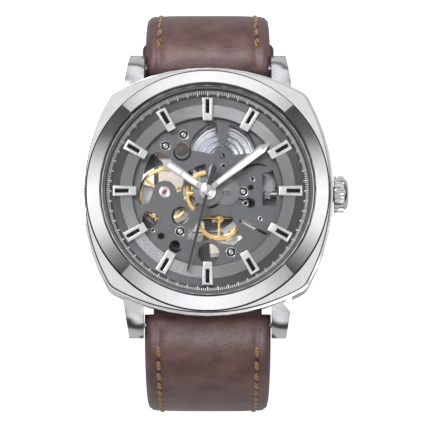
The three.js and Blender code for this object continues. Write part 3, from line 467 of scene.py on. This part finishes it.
def bezel_profile(angle):
    """The bezel's cross-section at an angle, as (radius, height) pairs from its inner foot outwards."""
    inner, opening, low, ledge = BEZEL["inner"], BEZEL["opening"], BEZEL["low"], BEZEL["ledge"]
    outer = cushion_radius(BEZEL["half"], angle)
    ring = min(BEZEL["ring"], outer - BEZEL["least_ledge"])
    groove, bottom = ring + BEZEL["groove"], ledge - BEZEL["groove_depth"]
    rim_in, rim_drop = BEZEL["rim_bevel"]
    lip_out, lip_drop = BEZEL["lip_bevel"]
    profile = [(inner, low), (outer - BEZEL["foot_bevel"], low), (outer, low + BEZEL["foot_bevel"])]
    profile += [(outer, ledge - BEZEL["ledge_bevel"]), (outer - BEZEL["ledge_bevel"], ledge)]
    profile += [(groove, ledge), (groove, bottom)]
    profile += [(ring, bottom), (ring, facet_height(ring, angle) - rim_drop)]
    for share in np.linspace(0, 1, BEZEL["facet_rows"]):
        radius = ring - rim_in - (ring - rim_in - opening - lip_out) * share
        profile.append((radius, facet_height(radius, angle)))
    profile.append((opening, facet_height(opening, angle) - lip_drop))
    return profile + [(opening, BEZEL["seat"]), (inner, BEZEL["seat"])]


def bezel():
    sections = []
    for i in range(BEZEL["segments"]):
        angle = TURN * i / BEZEL["segments"]
        c, s = math.cos(angle), math.sin(angle)
        sections.append([(r * c, r * s, z) for r, z in bezel_profile(angle)])
    obj = loft("faceted_bezel", sections, [M_BEZEL, M_GROOVE_SHADE], closed=True, smooth=6.5)
    # The groove faces take the near-black steel as painted shade.
    for polygon in obj.data.polygons:
        polygon.material_index = int(polygon.index % len(sections[0]) in SHADED_GROOVE_FACES)
    keep(obj, "head", "polished_steel", "bezel")


def crystal():
    rim, low, top = CRYSTAL["radius"], CRYSTAL["low"], CRYSTAL["top"]
    bevel, chamfer = CRYSTAL["bevel"], CRYSTAL["chamfer"]
    profile = [(AXIS, low), (rim - bevel, low), (rim, low + bevel)]
    profile += [(rim, top - chamfer), (rim - chamfer, top), (AXIS, top)]
    keep(lathe("crystal_disc", profile, M_CRYSTAL), "head", "sapphire", "crystal")


def chapter_ring():
    """The sloping ring that carries the minute track, with an upright wall round it."""
    inner, outer, low, foot = CHAPTER["inner"], CHAPTER["outer"], CHAPTER["low"], CHAPTER["foot"]
    lip, top, wall = CHAPTER["lip"], CHAPTER["top"], CHAPTER["wall"]
    profile = [(inner, low), (outer, low), (outer, top), (outer - wall + 0.2, top)]
    profile += [(outer - wall + 0.13, lip + 0.08), (outer - wall, lip)]
    profile += [(inner + 0.06, foot + 0.04), (inner, foot)]
    keep(lathe("sloping_chapter", profile, M_CHAPTER, smooth=20), "head", "chapter_grey", "chapter_ring")


def dial_ring():
    """The flat ring under the markers, a step higher inside than outside."""
    inner, raised, outer = DIAL["inner"], DIAL["raised"], DIAL["outer"]
    low, base, top = DIAL["low"], DIAL["base"], DIAL["top"]
    profile = [(inner, low), (outer, low), (outer, base), (raised + 0.02, base)]
    profile += [(raised, top - 0.04), (raised - 0.04, top), (inner + 0.08, top), (inner, top - 0.08)]
    flange = lathe("dial_flange", profile, [M_DIAL, M_DIAL_RIM], smooth=20)
    for polygon in flange.data.polygons:
        polygon.material_index = int(polygon.center.xy.length > raised * MM)
    keep(flange, "head", "dial_metal", "dial_ring")


def strip(near, far, half):
    """The corners of a narrow rectangle along +Y."""
    return [(-half, near), (half, near), (half, far), (-half, far)]


def minute_track():
    """Ticks of a fifth of a second on the sloping ring, with a longer one at each minute."""
    verts, faces = [], []
    slope = (CHAPTER["lip"] - CHAPTER["foot"]) / (CHAPTER["outer"] - CHAPTER["wall"] - CHAPTER["inner"])
    for tick in range(TRACK["ticks"]):
        size = TRACK if tick % MINUTE_TICK["every"] else MINUTE_TICK
        angle = TURN * tick / TRACK["ticks"]
        c, s = math.cos(angle), math.sin(angle)
        ends = []
        for lift in (-TRACK["sunk"], TRACK["sunk"]):
            loop = []
            for side, radius in strip(size["inner"], TRACK["outer"], size["half"]):
                z = CHAPTER["foot"] + (radius - CHAPTER["inner"]) * slope + lift
                loop.append((radius * c - side * s, radius * s + side * c, z))
            ends.append(loop[::-1])
        faces += skin(ends, len(verts))
        verts += ends[0] + ends[1]
    keep(mesh_object("minute_track", verts, faces, M_INK, 0), "head", "chapter_grey")


def marker_inlays():
    """Black enamel in the slot of each hour marker."""
    outlines = []
    for hour in range(12):
        angle = TURN * hour / 12
        c, s = math.cos(angle), math.sin(angle)
        slot = strip(MARKER_SLOT["near"], MARKER_SLOT["far"], MARKER_SLOT["half"])
        outlines.append([(x * c - y * s, x * s + y * c) for x, y in slot])
    inlays = slab("marker_inlays", outlines, MARKER_SLOT["low"], MARKER_SLOT["high"], M_BLACK, 0.02)
    keep(inlays, "head", "gasket")


# Piece, body, turn, height, and each strip's near end, far end and half width.
HAND_INLAYS = (
    ("hour_hand_inlay", "hours", HOUR_TURN, 9.1, ((2.3, 5.3, 0.36), (5.55, 8.2, 0.36))),
    ("minute_hand_inlay", "minutes", MINUTE_TURN, 9.86, ((2.1, 11.7, 0.31),)),
)
SECONDS_CAP = (
    (AXIS, 10.36), (0.9, 10.36), (0.9, 10.46), (0.82, 10.52), (0.24, 10.54), (0.2, 10.5), (AXIS, 10.5),
)


def hand_details():
    """White inlays in the hour and minute hands, and the domed cap over their axis."""
    for piece, body, turn, low, strips in HAND_INLAYS:
        outlines = [strip(*sizes) for sizes in strips]
        keep(slab(piece, outlines, low, low + INLAY_DEPTH, M_WHITE, 0.02, turn), body, "polished_steel")
    keep(lathe("seconds_cap", SECONDS_CAP, M_HAND, 40, smooth=40), "seconds", "polished_steel")


# ---- Strap ----
class Path:
    """The strap's centre line in (Y, Z): out over the lugs, down, and in below, by distance along it."""

    def __init__(self, length, inward, depth):
        top, bow, drop = BAR, STRAP["bow"], STRAP_DROP
        a = np.linspace(math.pi / 2, 0, 400)
        first = np.c_[top[0] + bow * np.cos(a), top[1] - drop + drop * np.sin(a)]
        b = np.linspace(0, -math.pi / 2, 400)[1:]
        centre = top[0] + bow - inward
        second = np.c_[centre + inward * np.cos(b), top[1] - drop + depth * np.sin(b)]
        points = np.vstack([first, second])
        self.curved = float(np.hypot(*np.diff(points, axis=0).T).sum())
        end = points[-1] + np.array([-(length - self.curved), 0])
        self.points = np.vstack([points, np.linspace(points[-1], end, 60)[1:]])
        self.run = np.r_[0, np.cumsum(np.hypot(*np.diff(self.points, axis=0).T))]
        self.length = length

    def at(self, along):
        return np.array([np.interp(along, self.run, self.points[:, k]) for k in (0, 1)])

    def frame(self, along):
        here = self.at(along)
        ahead = self.at(min(self.length, along + 0.25)) - self.at(max(0, along - 0.25))
        forward = ahead / np.hypot(*ahead)
        return here, forward, np.array([-forward[1], forward[0]])


SHORT_PATH = Path(**SHORT)
LONG_PATH = Path(**LONG)


def half_thickness(path, along, end):
    body = STRAP["body"] + (end - STRAP["body"]) * min(1, along / path.curved)
    return (STRAP["lug"] + (body - STRAP["lug"]) * min(1, along / STRAP["taper"])) / 2


def half_width(height):
    """The CAD taper: widest above the lugs, slimmest at the tail's height."""
    top = BAR[1] + STRAP["lug"]
    low = BAR[1] - STRAP_DROP - LONG["depth"] - STRAP["body"]
    return STRAP["wide"] + (STRAP["slim"] - STRAP["wide"]) * (top - height) / (top - low)


CHANNEL = 0.84  # height of the stitching channel, as a share of the strap's half thickness
LINING_FACES = (12, 13, 14)
EDGE_FACES = (8, 9, 10, 11, 15, 16, 17, 18)
CHANNEL_FACES = (4, 22)
STITCH = {"inset": 2.32, "stop": 8.0, "first": 4.0, "pitch": 2.5, "length": 2.2, "radius": 0.37, "lift": 0.1,
          "dip": 0.2, "slant": 0.1, "flatten": 0.7, "blunt": 0.15, "rows": 7, "sides": 8}


def section(half, thick):
    """Half-round edges, a stitching channel along each side and a padded middle, as (x, height) pairs."""
    edge = 0.42 * thick
    right = [
        (0.0, thick), (half - 5.4, thick * 0.995), (half - 4.0, thick * 0.975), (half - 2.95, thick * 0.94),
        (half - 2.62, thick * CHANNEL), (half - 2.02, thick * CHANNEL), (half - 1.6, thick * 0.92),
        (half - 0.75, thick * 0.8), (half - 0.12, thick * 0.4), (half, 0.0),
        (half - 0.07, -edge), (half - 0.35, -thick * 0.8), (half - 0.9, -thick * 0.97), (half - 3.5, -thick),
    ]
    left = [(-x, h) for x, h in reversed(right[1:])]
    return right + left


def strap_loop(point, normal, half, thick, sign):
    """The strap's section, set across its path at a (Y, Z) point."""
    places = [(x, point + normal * height) for x, height in section(half, thick)]
    return [(x, sign * place[0], place[1]) for x, place in places]


def tongue(half, thick, left):
    """Half width and thickness at a distance from the rounded, thinned tip."""
    if left >= TONGUE["length"]:
        return half, thick
    narrowed = half * math.sqrt(max(0.0, 1 - ((TONGUE["length"] - left) / TONGUE["length"]) ** 2))
    thinned = thick * (TONGUE["thin"] + (1 - TONGUE["thin"]) * min(1, left / TONGUE["thinning"]))
    return max(narrowed, TONGUE["least"]), thinned


def strap_half(name, path, end, sign, tip):
    """One half of the strap as a skin over its cross-sections, from its rounded end at the lugs."""
    stations = [0.0] + list(np.linspace(0.4, path.length - (0.3 if tip else 0.0), SKIN["rows"]))
    sections = []
    start, upright = path.at(0), np.array([0.0, 1.0])
    half = half_width(start[1]) + SKIN["proud"]
    thick = half_thickness(path, 0, end) - SKIN["thin"]
    for share, back in LUG_END:
        sections.append(strap_loop(start - np.array([back, 0]), upright, half, thick * share, sign))
    for along in stations:
        here, forward, normal = path.frame(along)
        half = half_width(here[1]) + SKIN["proud"]
        thick = half_thickness(path, along, end) - SKIN["thin"]
        if tip:
            half, thick = tongue(half, thick, path.length - along)
        squeeze = min(1.0, half / NARROW["squeeze"])
        loop = strap_loop(here, normal, max(half, NARROW["section"]), thick, sign)
        sections.append([(x * squeeze, y, z) for x, y, z in loop])
    if not tip:
        for ahead, share in BLUNT_END:
            sections.append(strap_loop(here + forward * ahead, normal, half, thick * share, sign))
    obj = loft(name, sections, [M_LEATHER, M_LINING, M_EDGE], smooth=50)
    paint_strap(obj, len(sections[0]), stations)
    return obj


def paint_strap(obj, count, stations):
    """Leather outside, lining inside, and edge paint between them and along the stitched channels."""
    for polygon in obj.data.polygons:
        if len(polygon.vertices) > 4:
            polygon.material_index = 2
            continue
        places = [v % count for v in polygon.vertices]
        low = min(places)
        if max(places) - low > 1:
            low = max(places)
        row = min(polygon.vertices) // count - len(LUG_END)
        along = stations[row] if 0 <= row < len(stations) else 0
        stitched = STITCH["first"] - STITCH["length"] / 2 < along < stations[-1] - STITCH["stop"]
        if low in LINING_FACES:
            polygon.material_index = 1
        elif low in EDGE_FACES or (low in CHANNEL_FACES and stitched):
            polygon.material_index = 2
        else:
            polygon.material_index = 0


def carve(obj, cutters):
    """Cuts closed meshes out of obj and throws the cutters away."""
    for cutter in cutters:
        step = obj.modifiers.new("carve", "BOOLEAN")
        step.operation = "DIFFERENCE"
        step.solver = "EXACT"
        step.object = cutter
    bpy.context.view_layer.update()
    graph = bpy.context.evaluated_depsgraph_get()
    mesh = bpy.data.meshes.new_from_object(obj.evaluated_get(graph))
    obj.modifiers.clear()
    obj.data = mesh
    mesh.polygons.foreach_set("use_smooth", [True] * len(mesh.polygons))
    mesh.set_sharp_from_angle(angle=math.radians(50))
    for cutter in cutters:
        bpy.data.objects.remove(cutter)


def tube_between(name, start, end, radius, count=20):
    start, end = Vector(start), Vector(end)
    turn = (end - start).to_track_quat("Z", "Y")
    spokes = []
    for i in range(count):
        angle = TURN * i / count
        spokes.append(turn @ Vector((radius * math.cos(angle), radius * math.sin(angle), 0)))
    return loft(name, [[tuple(base + spoke) for spoke in spokes] for base in (start, end)], M_EDGE)


def block(name, low, high):
    """A plain box between two corners."""
    outline = [(low[0], low[1]), (high[0], low[1]), (high[0], high[1]), (low[0], high[1])]
    return slab(name, [outline], low[2], high[2], M_EDGE, 0)


def tuck(name, sign):
    """The folded leather between the lugs, a little narrower than the strap."""
    width = STRAP["wide"] - TUCK["inset"]
    inboard = BAR[0] - STRAP["lug"] / 2
    near, far = inboard - TUCK["near"], inboard + TUCK["far"]
    half = TUCK["half"]
    under = [(near, half - TUCK["corner_drop"]), (near + TUCK["corner"], half), (far, half)]
    outline = [(y, BAR[1] - h) for y, h in under] + [(y, BAR[1] + h) for y, h in reversed(under)]
    sections = [[(x, sign * y, z) for y, z in outline] for x in (-width, width)]
    return soften(loft(name, sections, M_LEATHER), 0.2, 3)


def stitch(path, along, end, side, sign):
    """One stitch as a small rounded capsule lying in the channel, as loops of points."""
    here, forward, normal = path.frame(along)
    x = side * (half_width(here[1]) - STITCH["inset"])
    height = half_thickness(path, along, end) * CHANNEL + STITCH["lift"]
    loops = []
    for t in np.linspace(-1, 1, STITCH["rows"]):
        bend = abs(t) ** 3
        swell = math.sqrt(max(0.0, 1 - bend)) * (1 - STITCH["blunt"]) + STITCH["blunt"]
        radius = STITCH["radius"] * swell
        centre = here + forward * (t * STITCH["length"] / 2) + normal * (height - STITCH["dip"] * bend)
        loop = []
        for k in range(STITCH["sides"]):
            a = TURN * k / STITCH["sides"]
            point = centre + normal * (math.sin(a) * radius * STITCH["flatten"])
            loop.append((x + STITCH["slant"] * t + math.cos(a) * radius, sign * point[0], point[1]))
        loops.append(loop)
    return loops


def stitches(name, path, end, sign, body):
    """Two rows of thread along one half of the strap."""
    verts, faces = [], []
    along = STITCH["first"]
    while along < path.length - STITCH["stop"]:
        for side in (-1, 1):
            loops = stitch(path, along, end, side, sign)
            faces += skin(loops, len(verts))
            verts += [v for loop in loops for v in loop]
        along += STITCH["pitch"]
    keep(outward(mesh_object(name, verts, faces, M_THREAD, 60)), body, "leather")


def bar_bore(y, z, radius):
    return tube_between("bar_bore", (-BORE["reach"], y, z), (BORE["reach"], y, z), radius)


def straps():
    """Both halves, pierced for their bars, the buckle's tongue and the holes, with tucks and stitches."""
    long_half = strap_half("leather_long_half", LONG_PATH, STRAP["tail"], -1, True)
    cutters = []
    for i in range(PUNCH["count"]):
        here, _, normal = LONG_PATH.frame(LONG["length"] - PUNCH["first"] - i * PUNCH["pitch"])
        ends = [here + normal * BORE["depth"], here - normal * BORE["depth"]]
        cutters.append(tube_between(f"punch_{i}", *[(0, -p[0], p[1]) for p in ends], PUNCH["radius"]))
    carve(long_half, cutters + [bar_bore(-BAR[0], BAR[1], BORE["lug"])])
    keep(long_half, "strap_6", "leather", "strap_6")
    keep(tuck("long_half_tuck", -1), "strap_6", "leather")
    short_half = strap_half("leather_short_half", SHORT_PATH, STRAP["body"], 1, False)
    y, z = SHORT_PATH.at(SHORT["length"])
    half, depth = TONGUE_SLOT["half"], TONGUE_SLOT["depth"]
    near, far = y - TONGUE_SLOT["back"], y + TONGUE_SLOT["ahead"]
    slot = block("slot", (-half, near, z - depth), (half, far, z + depth))
    carve(short_half, [slot, bar_bore(y, z, BORE["buckle"]), bar_bore(*BAR, BORE["lug"])])
    keep(short_half, "strap_12", "leather", "strap_12")
    keep(tuck("short_half_tuck", 1), "strap_12", "leather")
    stitches("long_half_stitches", LONG_PATH, STRAP["tail"], -1, "strap_6")
    stitches("short_half_stitches", SHORT_PATH, STRAP["body"], 1, "strap_12")


def keeper_wall():
    """The loop's own section: depth under its outer face, and place along the strap, with rounded rims."""
    wall, flat = KEEPER["wall"], KEEPER_RIM["flat"]
    shoulder, edge = KEEPER_RIM["shoulder"], KEEPER_RIM["depth"]
    rim = [(edge, shoulder), (wall / 2, KEEPER_RIM["crown"]), (wall - edge, shoulder)]
    inner = [(wall, -flat), (wall, flat)]
    return [(0, flat), (0, -flat)] + [(depth, -reach) for depth, reach in rim] + inner + rim[::-1]


def keepers():
    """Leather loops round the strap, with rounded corners."""
    half, high, low, radius = KEEPER["half"], KEEPER["high"], KEEPER["low"], KEEPER["corner"]
    centres = ((half - radius, high - radius), (radius - half, high - radius),
               (radius - half, low + radius), (half - radius, low + radius))
    for node, (body, back) in KEEPERS.items():
        here, forward, normal = SHORT_PATH.frame(SHORT["length"] - back)
        sections = []
        for quarter, (x, height) in enumerate(centres):
            for turn in np.linspace(quarter, quarter + 1, KEEPER["corner_rows"]) * TURN / 4:
                loop = []
                for depth, reach in keeper_wall():
                    out = radius - depth
                    point = here + forward * reach + normal * (height + out * math.sin(turn))
                    loop.append((x + out * math.cos(turn), point[0], point[1]))
                sections.append(loop)
        obj = loft("leather_" + node, sections, M_LEATHER, closed=True, smooth=50)
        keep(obj, body, "leather", node)


# ---- Movement trimmings ----
# Screw heads in the dial plate, and pits drawn as black discs of painted shade: X, Y and radius.
SCREWS = (
    (-4.15, 10.0, 0.45), (-7.25, 8.05, 0.45), (-4.7, -6.8, 0.45), (4.0, -10.4, 0.45), (6.1, 0.1, 0.42),
)
SHADE_PITS = ((2.7, 4.6, 0.3), (7.7, 2.3, 0.3), (6.5, -1.9, 0.35), (-9.4, -6.6, 0.25), (9.0, -4.6, 0.25))
# A thin black sheet of painted shade on the plate: a ring round each screw, a disc at each pit, and the
# crescents.
SHADE_SHEET = {"margin": 0.3, "low": 7.86, "high": 7.92, "sides": 28}
COLLAR = ((0.0, 7.86), (0.14, 7.86), (0.14, 7.93), (0.04, 7.97), (0.0, 7.95))
HEAD = {"low": 7.86, "shoulder": 7.98, "top": 8.05, "chamfer": 0.1, "slot": 0.09}
JEWEL_SETTING = ((0.42, 8.09), (0.95, 8.09), (0.95, 8.16), (0.88, 8.2), (0.5, 8.2), (0.42, 8.14))


def shade_wells():
    """Black discs of painted shade under the screws and at the pits, each with a bright collar."""
    outlines = []
    for i, (x, y, radius) in enumerate(SCREWS + SHADE_PITS):
        wide = radius + (SHADE_SHEET["margin"] if i < len(SCREWS) else 0.0)
        angles = [TURN * k / SHADE_SHEET["sides"] for k in range(SHADE_SHEET["sides"])]
        outlines.append([(x + wide * math.cos(a), y + wide * math.sin(a)) for a in angles])
        profile = [(wide + out, height) for out, height in COLLAR]
        keep(lathe(f"well_collar_{i + 1}", profile, M_CHAMFER, 36, (x, y), 40), "head", "polished_steel")
    keep(slab("plate_wells", outlines, SHADE_SHEET["low"], SHADE_SHEET["high"], M_BLACK, 0), "head", "gasket")


def screws():
    """Slotted screw heads on the dial plate, and the setting of the balance's jewel."""
    low, shoulder, top, chamfer = HEAD["low"], HEAD["shoulder"], HEAD["top"], HEAD["chamfer"]
    for i, (x, y, radius) in enumerate(SCREWS):
        profile = [(AXIS, low), (radius, low), (radius, shoulder), (radius - chamfer, top), (AXIS, top)]
        obj = lathe(f"plate_screw_{i + 1}", profile, M_SCREW, 28, (x, y), 40)
        reach = radius + 0.1
        half = HEAD["slot"]
        carve(obj, [block("slot", (x - reach, y - half, shoulder), (x + reach, y + half, top + 0.15))])
        keep(obj, "head", "polished_steel")
    setting = lathe("jewel_setting", JEWEL_SETTING, M_SETTING, 32, BALANCE_AT, 40)
    keep(setting, "head", "polished_steel")


# Crescents of painted shade on the dial plate, black where shadow falls at its openings: centre, inner and
# outer radius, and the angles that each spans in degrees.
SHADE_CRESCENTS = (
    ((-4.45, -4.2), 1.36, 1.75, 60, 250),
    ((-9.6, -4.7), 1.36, 1.62, 100, 290),
    ((-4.4, 7.0), 1.22, 1.6, 150, 400),
    ((8.6, 1.2), 3.45, 3.8, 62, 140),
    ((-5.4, -9.1), 0.92, 1.35, 180, 330),
    ((2.5, 6.3), 5.72, 5.98, 96, 165),
    ((2.5, 6.3), 5.72, 5.98, 12, 68),
    ((6.1, 0.1), 1.3, 1.6, 200, 320),
)


def crescent(centre, inner, outer, start, end, steps=24):
    """An outline that follows an arc, full in its middle and closed at both ends."""
    middle = (inner + outer) / 2
    outline = []
    for way, swell in ((range(steps + 1), outer - middle), (range(steps - 1, 0, -1), inner - middle)):
        for share in (step / steps for step in way):
            angle = math.radians(start + (end - start) * share)
            reach = middle + swell * math.sin(math.pi * share) ** 0.5
            outline.append((centre[0] + reach * math.cos(angle), centre[1] + reach * math.sin(angle)))
    return outline


def shade_crescents():
    # Flat black crescents on the plate: painted shadow at the edges of its openings.
    outlines = [crescent(*shade_arc) for shade_arc in SHADE_CRESCENTS]
    keep(slab("plate_recesses", outlines, SHADE_SHEET["low"], SHADE_SHEET["high"], M_BLACK, 0), "head", "gasket")


# The CAD nodes that stay, by finish.
FINISHES = {
    M_SIDE: ("case_middle", "case_back_ring"),
    M_CROWN: ("crown",),
    M_POLISHED: ("rotor_bearing", "buckle_frame", "buckle_tongue"),
    M_HAND: ("hour_hand", "minute_hand"),
    M_SECOND: ("second_hand", "barrel_arbor"),
    M_SHADED_BRIDGE: ("train_bridge",),
    M_BRUSHED: ("crown_tube", "winding_stem", "escape_wheel", "pallet_fork", "ratchet_wheel", "crown_wheel",
                "winding_pinion", "click", "cannon_pinion", "balance_cock", "spring_bar_12", "spring_bar_6",
                "buckle_bar"),
    M_GILT: ("centre_wheel", "third_wheel", "fourth_wheel", "balance_wheel"),
    M_MOTION: ("minute_wheel", "hour_wheel"),
    M_PLATE: ("main_plate",),
    M_DRUM: ("barrel_drum",),
    M_ROTOR: ("rotor",),
    M_BLUED: ("hairspring", "mainspring"),
    M_SPACER: ("movement_holder",),
    M_GASKET: ("crystal_gasket",),
    M_RUBY: ("balance_jewel",),
    M_CRYSTAL: ("case_back_glass",),
}
EDGE_WIDTH = 0.03
EDGE_WIDTHS = {
    "case_middle": 0.25, "case_back_ring": 0.15, "crown": 0.12, "buckle_frame": 0.35, "buckle_tongue": 0.2,
    "main_plate": 0, "train_bridge": 0, "balance_cock": 0.1, "hour_hand": 0.07, "minute_hand": 0.07,
    "second_hand": 0.06,
}
CHAMFERED = ("balance_cock", "barrel_drum", "second_hand")


def finish_nodes():
    """Gives each CAD node that stays its finish and softened edges."""
    for mat, names in FINISHES.items():
        for node in names:
            chamfer = M_CHAMFER if node in CHAMFERED else None
            refine(node, mat, EDGE_WIDTHS.get(node, EDGE_WIDTH), edge_mat=chamfer)
    for hour in range(1, 13):
        # The markers' softened edges take the darker hand steel: painted shade along their edges.
        refine(f"hour_marker_{hour}", M_MARKER, 0.12, 3, M_HAND)


# ---- Stage ----
FLOOR_HALF = 1500.0  # millimetres
FLOOR_GAP = 0.2
FLOOR_GLOW = 0.75  # lifts the floor to white for the camera, and lights nothing
# Name, azimuth and elevation in degrees, sides in metres, and power in watts.
SOFT_LAMPS = (("key_softbox", 310, 58, (0.36, 0.36), 3.2), ("fill_softbox", 120, 60, (0.4, 0.4), 1.2))
STRIP_LAMPS = (("front_strip", 180, 60, (0.5, 0.05), 5.5), ("back_strip", 0, 46, (0.5, 0.05), 5.5))
LAMP_DISTANCE = 0.8
LAMP_AIM = Vector((0, 0, 0.01))


def stage():
    low = CAD_BOX[0].z / MM - FLOOR_GAP
    pale = material("pale_floor", (0.55, 0.55, 0.55), 0.0, 0.8)
    shader_of(pale).inputs["Emission Color"].default_value = (1, 1, 1, 1)
    seen = add(pale, "LightPath")
    glow = calculate(pale, "MULTIPLY", seen.outputs["Is Camera Ray"], FLOOR_GLOW)
    link(pale, glow, shader_of(pale).inputs["Emission Strength"])
    corners = [(-FLOOR_HALF, -FLOOR_HALF, low), (FLOOR_HALF, -FLOOR_HALF, low),
               (FLOOR_HALF, FLOOR_HALF, low), (-FLOOR_HALF, FLOOR_HALF, low)]
    mesh_object("floor", corners, [(0, 1, 2, 3)], pale, smooth=0)


def area_light(name, azimuth, elevation, size, power):
    """A softbox aimed at the dial. Azimuth 0 is towards 12 o'clock and 90 towards the crown."""
    a, e = math.radians(azimuth), math.radians(elevation)
    data = bpy.data.lights.new(name, "AREA")
    data.shape = "RECTANGLE"
    data.size, data.size_y = size
    data.energy = power
    lamp = bpy.data.objects.new(name, data)
    away = Vector((math.sin(a) * math.cos(e), math.cos(a) * math.cos(e), math.sin(e))) * LAMP_DISTANCE
    lamp.location = away + LAMP_AIM
    lamp.rotation_mode = "QUATERNION"
    lamp.rotation_quaternion = (-away).to_track_quat("-Z", "Y")
    lamp.visible_camera = False
    bpy.context.scene.collection.objects.link(lamp)
    return lamp


def strap_strips(pieces):
    """Two narrow strips that light the leather alone and draw a highlight where it bends off the lugs."""
    leather_only = bpy.data.collections.new("leather_only")
    for piece in pieces:
        leather_only.objects.link(bpy.data.objects[piece])
    for settings in STRIP_LAMPS:
        lamp = area_light(*settings)
        lamp.light_linking.receiver_collection = leather_only


def lights():
    for settings in SOFT_LAMPS:
        area_light(*settings)
    bpy.context.scene.world = studio()


# How bright the studio is by azimuth, in degrees from 12 o'clock: four softboxes with dark gaps between.
SOFTBOXES = ((0, 1.12), (20, 0.95), (31, 0.6), (40, 0.25), (47, 0.07), (58, 0.14), (70, 0.75), (80, 1.14),
             (95, 1.0), (108, 0.35), (118, 0.07), (127, 0.22), (138, 0.42), (155, 0.85), (180, 1.12))
OVERHEAD = 0.8
HORIZON = 0.05
HORIZON_LEAN = 0.15  # the dim band stands higher towards 6 o'clock
BACKDROP = 1.0
HORIZON_EDGE = ((0.16, HORIZON), (0.4, 1.0))  # height, as a share of the sky's radius, and brightness
CEILING_EDGE = ((0.6, 0.0), (0.8, 1.0))


def studio():
    """Softboxes round the sides, a bright ceiling and a dim horizon; the camera sees a pale backdrop."""
    world = bpy.data.worlds.new("studio")
    world.use_nodes = True
    place = add(world, "TexCoord")
    split = add(world, "SeparateXYZ")
    link(world, place.outputs["Generated"], split.inputs[0])
    east, north, up = split.outputs
    side = calculate(world, "ABSOLUTE", calculate(world, "ARCTAN2", east, north))
    share = calculate(world, "DIVIDE", side, math.pi)
    bands = world_ramp(world, share, [(azimuth / 180, value) for azimuth, value in SOFTBOXES])
    lean = calculate(world, "MULTIPLY_ADD", north, HORIZON_LEAN, up)
    low = world_ramp(world, lean, HORIZON_EDGE)
    high = world_ramp(world, up, CEILING_EDGE)
    sky = world_mix(world, high, calculate(world, "MULTIPLY", bands, low), OVERHEAD)
    seen = add(world, "LightPath")
    shown = world_mix(world, seen.outputs["Is Camera Ray"], sky, BACKDROP)
    background = world.node_tree.nodes["Background"]
    background.inputs["Color"].default_value = (1, 1, 1, 1)
    link(world, shown, background.inputs["Strength"])
    return world


def world_ramp(world, factor, stops):
    """A brightness by factor: two stops are eased into each other, and more are joined by straight lines."""
    ramp = add(world, "ValToRGB")
    ramp.color_ramp.interpolation = "EASE" if len(stops) == 2 else "LINEAR"
    elements = ramp.color_ramp.elements
    while len(elements) < len(stops):
        elements.new(1.0)
    for element, (position, value) in zip(elements, stops):
        element.position = position
        element.color = (value, value, value, 1)
    link(world, factor, ramp.inputs["Fac"])
    return ramp.outputs["Color"]


def world_mix(world, factor, below, above):
    """below where factor is 0, and the plain value above where it is 1."""
    blend = add(world, "Mix")
    link(world, factor, blend.inputs["Factor"])
    link(world, below, blend.inputs["A"])
    blend.inputs["B"].default_value = above
    return blend.outputs["Result"]


CAMERA = {"tilt": 81.5, "lens": 290.0, "sensor": 36.0, "width": 73.63}  # degrees, millimetres
CAMERA_AIM = {"x": 1.25, "z": 9.0, "drop": 4.08}


def camera():
    """Looks down at the dial from a little towards 6 o'clock, through a long lens."""
    tilt = math.radians(CAMERA["tilt"])
    distance = CAMERA["width"] * CAMERA["lens"] / CAMERA["sensor"] * MM
    back = Vector((0, -math.cos(tilt), math.sin(tilt)))
    up = Vector((0, math.sin(tilt), math.cos(tilt)))
    target = Vector((CAMERA_AIM["x"], 0, CAMERA_AIM["z"])) * MM - up * CAMERA_AIM["drop"] * MM
    data = bpy.data.cameras.new("camera")
    data.lens, data.sensor_width = CAMERA["lens"], CAMERA["sensor"]
    data.clip_start, data.clip_end = 0.05, 20
    obj = bpy.data.objects.new("camera", data)
    obj.location = target + back * distance
    obj.rotation_mode = "QUATERNION"
    obj.rotation_quaternion = (-back).to_track_quat("-Z", "Y")
    bpy.context.scene.collection.objects.link(obj)
    bpy.context.scene.camera = obj


camera()
stage()
lights()
bezel()
crystal()
chapter_ring()
dial_ring()
minute_track()
marker_inlays()
hand_details()
shade_wells()
screws()
shade_crescents()
straps()
strap_strips(["leather_long_half", "leather_short_half"])
keepers()
finish_nodes()
bpy.context.scene.view_settings.view_transform = "Standard"
